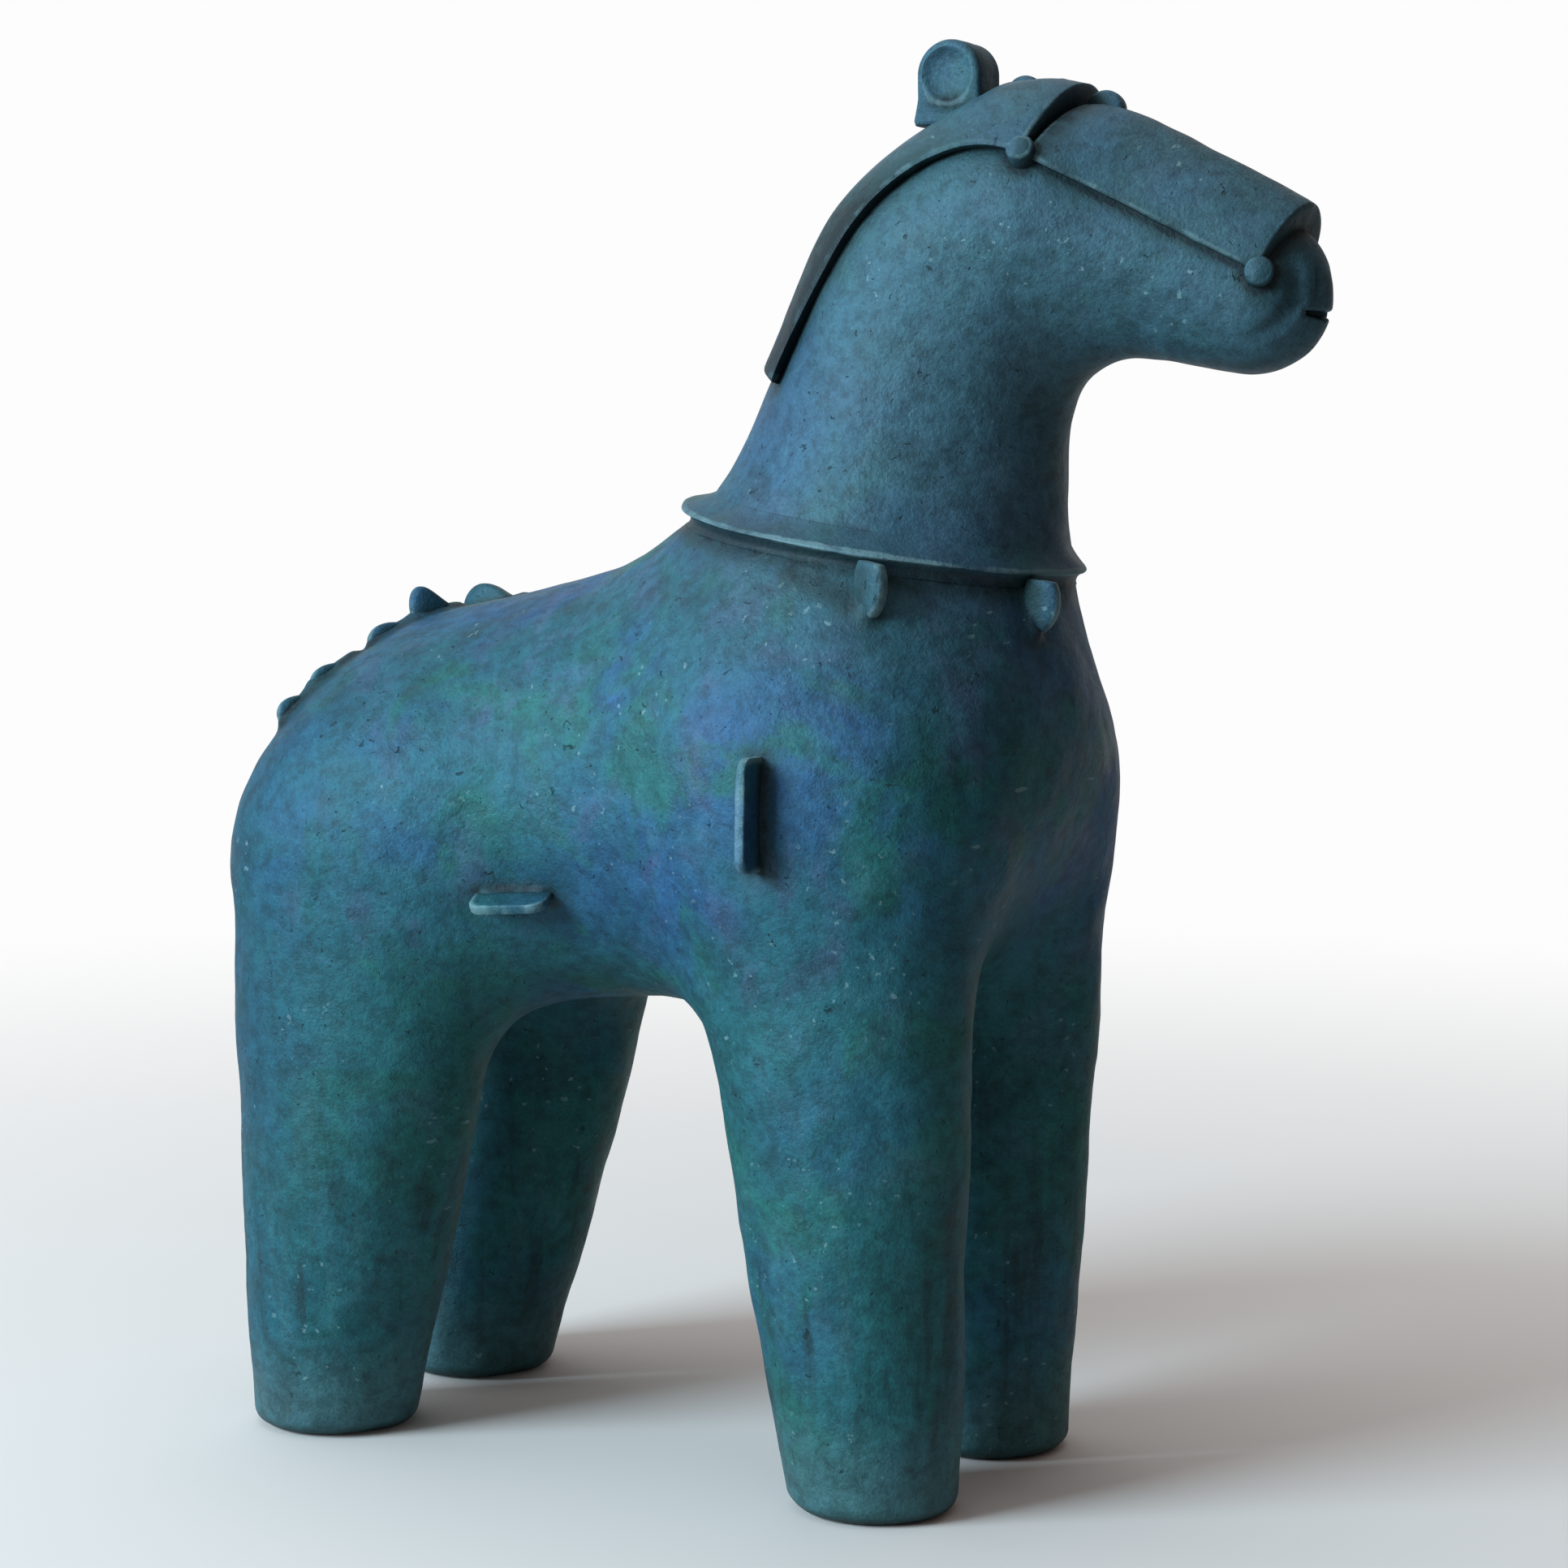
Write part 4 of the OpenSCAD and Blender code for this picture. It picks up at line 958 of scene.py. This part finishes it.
def slab_mesh(point, out_way, side, top, t, edge):
    """Raised slab over a ridge line, worn at its edges and bedded in the skin."""
    a = np.linspace(0, math.pi, ARC_STEPS + 1)
    from_edge = np.minimum(a, math.pi - a)
    lip = np.minimum(from_edge / edge, 1)
    a_round = np.sqrt(1 - (1 - lip) ** 2)
    worn = np.exp(-(((lip - WORN_AT) / WORN_W) ** 2)) * (lip < 1.0)
    worn += (lip >= 1.0) * np.exp(-((from_edge - edge) / WORN_FADE)) * WORN_MOST
    sections, wear = [], []
    for k, u in enumerate(t):
        u = np.full(len(a), u)
        centre, out = point(u), out_way(u)
        row = min(k, len(t) - 1 - k)
        end = min(row / END_ROWS, 1)
        stand = side + (top(u) - side) * np.sin(a)
        round_ = a_round * math.sqrt(1 - (1 - end) ** 2)
        way = between(LEFT, out, a)
        outer = touch(centre, way, stand * round_ - SLAB_TUCK * (1 - round_))
        inner = touch(centre, way, 0 * a - SLAB_BED)
        sections.append(np.concatenate([outer, inner[::-1]]))
        end_worn = END_WORN if end > 0.5 and row < END_WORN_ROWS else 0.0
        wear.append(np.concatenate([np.maximum(worn, end_worn), 0 * a]))
    v, faces = rings_to_mesh(sections)
    return v, faces, np.concatenate(wear + [np.zeros(2)])


def ridge_places(close, margin, count):
    """Places along a ridge line, closer together at its two ends."""
    close = np.array(close)
    return np.concatenate([close, np.linspace(margin, 1 - margin, count), 1 - close[::-1]])


NAPE_TOP, NAPE_FADE, NAPE_DARKENING = 303, 16, 0.75
CREST_LIP, FACE_LIP = 0.055, 0.06
CREST_RISE, CREST_POWER, CREST_DIP_END = 2.2, 4, 0.8


def nape_darkening(p):
    """Darkening of the crest, full on the nape and gone over the poll."""
    return NAPE_DARKENING * np.clip((NAPE_TOP - p[:, 2]) / NAPE_FADE, 0, 1)


def face_top(u):
    """Height of the face plate's ridge."""
    return FACE_SIDE + (FACE_TOP - FACE_SIDE) * (1 - (1 - np.minimum(1, u / FACE_RISE)) ** 2)


def crest_top(u):
    """Height of the crest's ridge: low down the neck, highest at the brow."""
    rise = (CREST_TOP - CREST_NECK) * np.minimum(1, CREST_RISE * u**CREST_POWER)
    return CREST_NECK + rise - CREST_DIP * np.sin(math.pi * np.minimum(1, u / CREST_DIP_END))


t = ridge_places([0, 0.002, 0.005, 0.009], 0.016, 110)
v, faces, wear = slab_mesh(crest_point, crest_out, CREST_SIDE, crest_top, t, CREST_LIP)
make_piece("crest", ["crest_slab"], v, faces, "patina_shell", wear, rough=0.6, extra_darkening=nape_darkening)

t = ridge_places([0, 0.004, 0.009, 0.015], 0.022, 70)
v, faces, wear = slab_mesh(face_point, face_out, FACE_SIDE, face_top, t, FACE_LIP)
make_piece("face_slab", ["face_plate"], v, faces, "patina_shell", wear, rough=0.6)

# ---- Studs, ears, scallops, lobes, fins and pendants ----


def box_outline(half, top, foot, side_steps, foot_steps):
    """The straight sides and the foot below a plate's rounded top."""
    side = np.linspace(top, foot, side_steps)[1:]
    bottom = np.linspace(-half, half, foot_steps)[1:-1]
    left = np.column_stack([0 * side - half, side])
    base = np.column_stack([bottom, 0 * bottom + foot])
    return np.concatenate([left, base, left[::-1] * [-1, 1]])


def tab_outline(w, foot, h):
    """Round-topped tab: a half disc over straight sides."""
    a = np.linspace(0, math.pi, 28)
    top = np.column_stack([w / 2 * np.cos(a), h - w / 2 + w / 2 * np.sin(a)])
    return np.concatenate([top, box_outline(w / 2, h - w / 2, foot, 7, 8)])


def upright(seat):
    """Plates drawn in (along, outward) stand on edge on the skin."""
    return lambda p: seat.place(np.stack([p[..., 0], -p[..., 2], p[..., 1]], -1))


STUD_SIDES, STUD_FOOT, STUD_TAPER, STUD_SHOULDER, STUD_EDGE, STUD_DOME = 56, 1.0, 0.98, 1.4, 0.9, 0.5


def domed(r, h, seat):
    """A button with a rounded shoulder and a low dome, standing on the skin."""
    profile = [(r * STUD_TAPER, -STUD_FOOT), (r, 0.0), (r, h - STUD_SHOULDER)]
    for a in np.linspace(0.2, 1, 7) * math.pi / 2:
        profile.append((r - STUD_EDGE * (1 - math.cos(a)), h - STUD_SHOULDER + STUD_EDGE * math.sin(a)))
    for k in (0.66, 0.5, 0.34, 0.16):
        profile.append((r * k, h - STUD_DOME * (k / 0.72) ** 2))
    ring = between(AHEAD, LEFT, turns(STUD_SIDES))
    v, faces = rings_to_mesh([radius * ring + rise * UP for radius, rise in profile])
    v[-1] = [0, 0, h]
    wear = [np.full(STUD_SIDES, 0.5 if 4 <= k <= 9 else 0.2) for k in range(len(profile))]
    return seat.place(v), faces, np.concatenate(wear + [[0, 0.2]])


def make_group(name, node, parts, slot, rough=0.5):
    """Several plates or buttons become one piece."""
    v, faces = join_parts([(points, groups) for points, groups, _ in parts])
    wear = np.concatenate([rubbed for _, _, rubbed in parts])
    make_piece(name, [node], v, faces, slot, wear, rough=rough)


studs = [domed(STUD_R, height, s) for seat, height in STUDS for s in (seat, seat.mirrored())]
make_group("studs", "bridle_studs", studs, "patina_edge")

EAR_FLARE, EAR_FLARE_FROM, EAR_WIDEST = 0.28, 5, 9.5
EAR_RIM, EAR_BEVEL, EAR_BEVEL_DROP, EAR_LEAST = 1.5, 1.2, 1.4, 2.0
EAR_CROWN, EAR_SLOPE, EAR_SLOPE_RUN = 0.05, 0.16, 3
EAR_DISH = ((0.9, -1.5), (2.2, -1.42), (3.6, -1.25), (4.7, -0.95), (5.4, -0.5), (EAR_R - EAR_RIM, -0.08))
EAR_WORN_RINGS = (5, 6, 13, 14)


def ear_reach(angle):
    """Reach of the ear's outline: round at the top, straight and flared below."""
    down = np.maximum(-np.sin(angle), 1e-6)
    sideways = np.abs(np.cos(angle))
    flare = EAR_R + EAR_FLARE * np.maximum(0, EAR_R * down / np.maximum(sideways, 0.05) - EAR_FLARE_FROM)
    square = np.minimum(np.minimum(flare, EAR_WIDEST) / np.maximum(sideways, 1e-6), EAR_FOOT / down)
    return np.where(np.sin(angle) < 0, square, EAR_R)


def ear_parts(side):
    """A thick lug with a round dish in its outer face, its back on the mirror plane."""
    angle = turns(96)
    reach = ear_reach(angle)
    rim = EAR_R - EAR_RIM
    flat = np.maximum(reach - EAR_BEVEL - rim, 0)
    profile = [(0 * angle + r, EAR_T + y) for r, y in EAR_DISH]
    for k in (0.15, 0.3, 0.5, 0.7, 0.85):
        fall = EAR_SLOPE * np.minimum(k * flat, EAR_SLOPE_RUN)
        profile.append((rim + k * flat, EAR_T - EAR_CROWN - fall))
    last = EAR_T - EAR_CROWN - EAR_SLOPE * np.minimum(flat, EAR_SLOPE_RUN)
    for a in np.linspace(0, 1, 6) * math.pi / 2:
        profile.append((reach - EAR_BEVEL * (1 - math.sin(a)), last - EAR_BEVEL_DROP * (1 - math.cos(a))))
    profile += [(reach, 0 * angle + EAR_LEAST), (reach, 0 * angle + 0.02)]
    v, faces = rings_to_mesh([
        np.stack([EAR[0] + r * np.cos(angle), 0 * angle + y, EAR[2] + r * np.sin(angle)], -1)
        for r, y in profile
    ])
    wear = [np.full(len(angle), 0.6 if k in EAR_WORN_RINGS else 0.0) for k in range(len(profile))]
    return [(v * np.array([1, side, 1]), faces, np.concatenate(wear + [[0, 0]]))]


for hand, side in (("left", 1), ("right", -1)):
    make_group(f"{hand}_ear_lug", f"{hand}_ear", ear_parts(side), "patina_shell")

scallops = [puffed(tab_outline(SCALLOP_W, -1, h), SCALLOP_T / 2, 4, upright(s)) for s, h in SCALLOPS]
make_group("scallops", "poll_scallops", scallops, "patina_shell")

FIN_CORNER, FIN_FOOT, LOBE_FOOT = 3.5, -2.0, -2.5


def fin_outline(length):
    """Long low fin with rounded outer corners."""
    r, half = FIN_CORNER, length / 2
    a = np.linspace(0, math.pi / 2, 9)
    right = np.column_stack([half - r + r * np.sin(a[::-1]), FIN_STAND - r + r * np.cos(a[::-1])])
    top = np.linspace(half - r, -half + r, 24)[1:-1]
    return np.concatenate([
        right, np.column_stack([top, 0 * top + FIN_STAND]), right[::-1] * [-1, 1],
        box_outline(half, FIN_STAND - r, FIN_FOOT, 6, 24),
    ])


def pendant_outline():
    """Pointed oval between two arcs."""
    arc_r = (PENDANT_W**2 + PENDANT_H**2) / (4 * PENDANT_W)
    reach = math.asin(PENDANT_H / 2 / arc_r)
    a = np.linspace(-reach, reach, 30)
    right = np.column_stack([arc_r * np.cos(a) - arc_r + PENDANT_W / 2, arc_r * np.sin(a)])
    return np.concatenate([right[:-1], -right[:-1]])


PENDANT_BELOW = 1.2


def pendant(at, turn):
    """A leaf hung at a place, its upper part kept under the collar's rim."""
    c, s = math.cos(PENDANT_LEAN), math.sin(PENDANT_LEAN)
    lean = np.array([[c, s], [-s, c]])
    along = np.array([math.cos(turn), math.sin(turn), 0])
    through = np.array([-math.sin(turn), math.cos(turn), 0])

    def place(p):
        flat = p[..., :2] @ lean
        out = at + flat[..., :1] * along + p[..., 2:] * through + (flat[..., 1:] + PENDANT_LIFT) * UP
        over = over_collar(out) + PENDANT_BELOW
        return out - np.maximum(over, 0)[..., None] * COLLAR_UP

    return puffed(pendant_outline(), PENDANT_T / 2, 4, place)


def lobe_outline(length, h):
    """Hill with a slow climb from the upper end and a round nose at the lower end."""
    u = np.linspace(1, 0, 36)
    climb = (1 - np.cos(math.pi * u / LOBE_PEAK)) / 2
    nose = np.sqrt(np.maximum(0, 1 - ((u - LOBE_PEAK) / (1 - LOBE_PEAK)) ** 2))
    top = np.column_stack([length * (u - 0.5), h * np.where(u < LOBE_PEAK, climb, nose)])
    foot = np.linspace(-length / 2, length / 2, 20)
    return np.concatenate([top, np.column_stack([foot, 0 * foot + LOBE_FOOT])])


for hand, mirrored in (("left", False), ("right", True)):
    lobes = [
        puffed(lobe_outline(length, height), LOBE_T / 2, 3.5, upright(s)) for s, length, height in LOBES[hand]
    ]
    make_group(f"{hand}_lobes", f"{hand}_rump_lobes", lobes, "patina_shell")
    for name, (seat, length) in FINS.items():
        s = seat.mirrored() if mirrored else seat
        fin = puffed(fin_outline(length), FIN_T / 2, 7, upright(s), steps=14)
        make_group(f"{hand}_{name}_plate", f"{hand}_{name}_fin", [fin], "patina_edge", rough=0.3)

for name, (at, turn) in PENDANTS.items():
    make_group(f"{name}_leaf", f"{name}_collar_pendant", [pendant(at, turn)], "patina_edge")

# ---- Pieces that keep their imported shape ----

def repaint(piece, material):
    piece.data.materials.clear()
    piece.data.materials.append(material)


for node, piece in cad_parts.items():
    if node.endswith("_sole"):
        repaint(piece, DARK_PATINA)
    elif node.endswith("_sleeve") or node == "cross_pins":
        repaint(piece, BRONZE)

# ---- Stage, light and camera ----

FLOOR_R, FLOOR_CLEAR, FLOOR_FADE, FLOOR_DROP = 4.0, 0.05, 1.0, 0.0002
FLOOR_COLOUR, WHITE, DIM_TINT = (0.57, 0.545, 0.53, 1), (1, 1, 1, 1), (1.25, 1.0, 0.93, 1)
SOFT_SIDE, BACKDROP = (-0.80, -0.20, 0.55), (-0.50, 0.86, 0.0)
SIDE_DIM, SIDE_FULL, GLOW = 0.10, 0.55, 0.98


def studio_glow(g, way):
    """Light of the studio around: a soft side, a dim side and a backdrop; all of it looks white."""
    way = g.add("ShaderNodeVectorMath", {0: way}, operation="NORMALIZE").outputs[0]
    side = g.add("ShaderNodeVectorMath", {0: way, 1: SOFT_SIDE}, operation="DOT_PRODUCT").outputs["Value"]
    back = g.add("ShaderNodeVectorMath", {0: way, 1: BACKDROP}, operation="DOT_PRODUCT").outputs["Value"]
    soft, bright = g.ramp(side, -0.5, 0.8, SIDE_DIM, SIDE_FULL), g.ramp(back, 0.45, 0.90, 0.0, GLOW)
    seen = g.add("ShaderNodeLightPath").outputs["Is Camera Ray"]
    return g.ramp(seen, 0.0, 1.0, g.math("MAXIMUM", soft, bright), GLOW)


def floor_paint():
    """Matt floor that turns into the studio's own glow further out."""
    material = bpy.data.materials.new("floor_paint")
    g = Graph(material)
    where = g.add("ShaderNodeTexCoord").outputs["Object"]
    paint = g.add("ShaderNodeBsdfPrincipled", {"Base Color": FLOOR_COLOUR, "Roughness": 0.9})
    glow = g.add("ShaderNodeEmission", {"Color": WHITE, "Strength": studio_glow(g, where)})
    reach = g.add("ShaderNodeVectorMath", {0: where}, operation="LENGTH").outputs["Value"]
    far = g.ramp(reach, FLOOR_CLEAR, FLOOR_FADE)
    cover = g.add("ShaderNodeMixShader", {0: far, 1: paint.outputs[0], 2: glow.outputs[0]})
    g.add("ShaderNodeOutputMaterial", {0: cover.outputs[0]})
    return material


floor_mesh = bpy.data.meshes.new("floor")
bm = bmesh.new()
bmesh.ops.create_circle(bm, cap_ends=True, segments=96, radius=FLOOR_R)
bm.to_mesh(floor_mesh)
bm.free()
floor_mesh.materials.append(floor_paint())
floor = new_object("floor", floor_mesh)
floor.location.z = -FLOOR_DROP

TARGET = np.array([-33.5, 0, 165]) * MM
CAMERA = np.array([394.1, -734.6, 236]) * MM


def aim(thing, at):
    """Points a camera or a light from a place at the horse."""
    thing.location = at
    thing.rotation_euler = (Vector(TARGET) - Vector(at)).to_track_quat("-Z", "Y").to_euler()


def area_light(name, at, size, power, colour):
    """Square soft light; place and size in metres, power in watts."""
    lamp = bpy.data.lights.new(name, "AREA")
    lamp.size = size
    lamp.energy = power
    lamp.color = colour
    aim(new_object(name, lamp), at)


area_light("key", at=(-1.00, -1.50, 0.86), size=0.9, power=64, colour=(0.76, 1.0, 1.13))
area_light("top", at=(-0.35, 0.05, 1.7), size=1.4, power=8, colour=(0.95, 0.98, 1.0))

bpy.context.scene.view_settings.view_transform = "Standard"
world = bpy.data.worlds.new("studio")
bpy.context.scene.world = world
g = Graph(world)
glow = studio_glow(g, g.add("ShaderNodeTexCoord").outputs["Generated"])
tint = g.mix(g.ramp(glow, 0.15, 0.60), DIM_TINT, WHITE)
background = g.add("ShaderNodeBackground", {"Color": tint, "Strength": glow})
g.add("ShaderNodeOutputWorld", {0: background.outputs[0]})

lens = bpy.data.cameras.new("camera")
lens.sensor_width = 36
lens.lens = 82.45
lens.shift_x = 0.0771
lens.shift_y = -0.0233
lens.clip_start = 0.01
lens.clip_end = 20
camera = new_object("camera", lens)
aim(camera, CAMERA)
bpy.context.scene.camera = camera
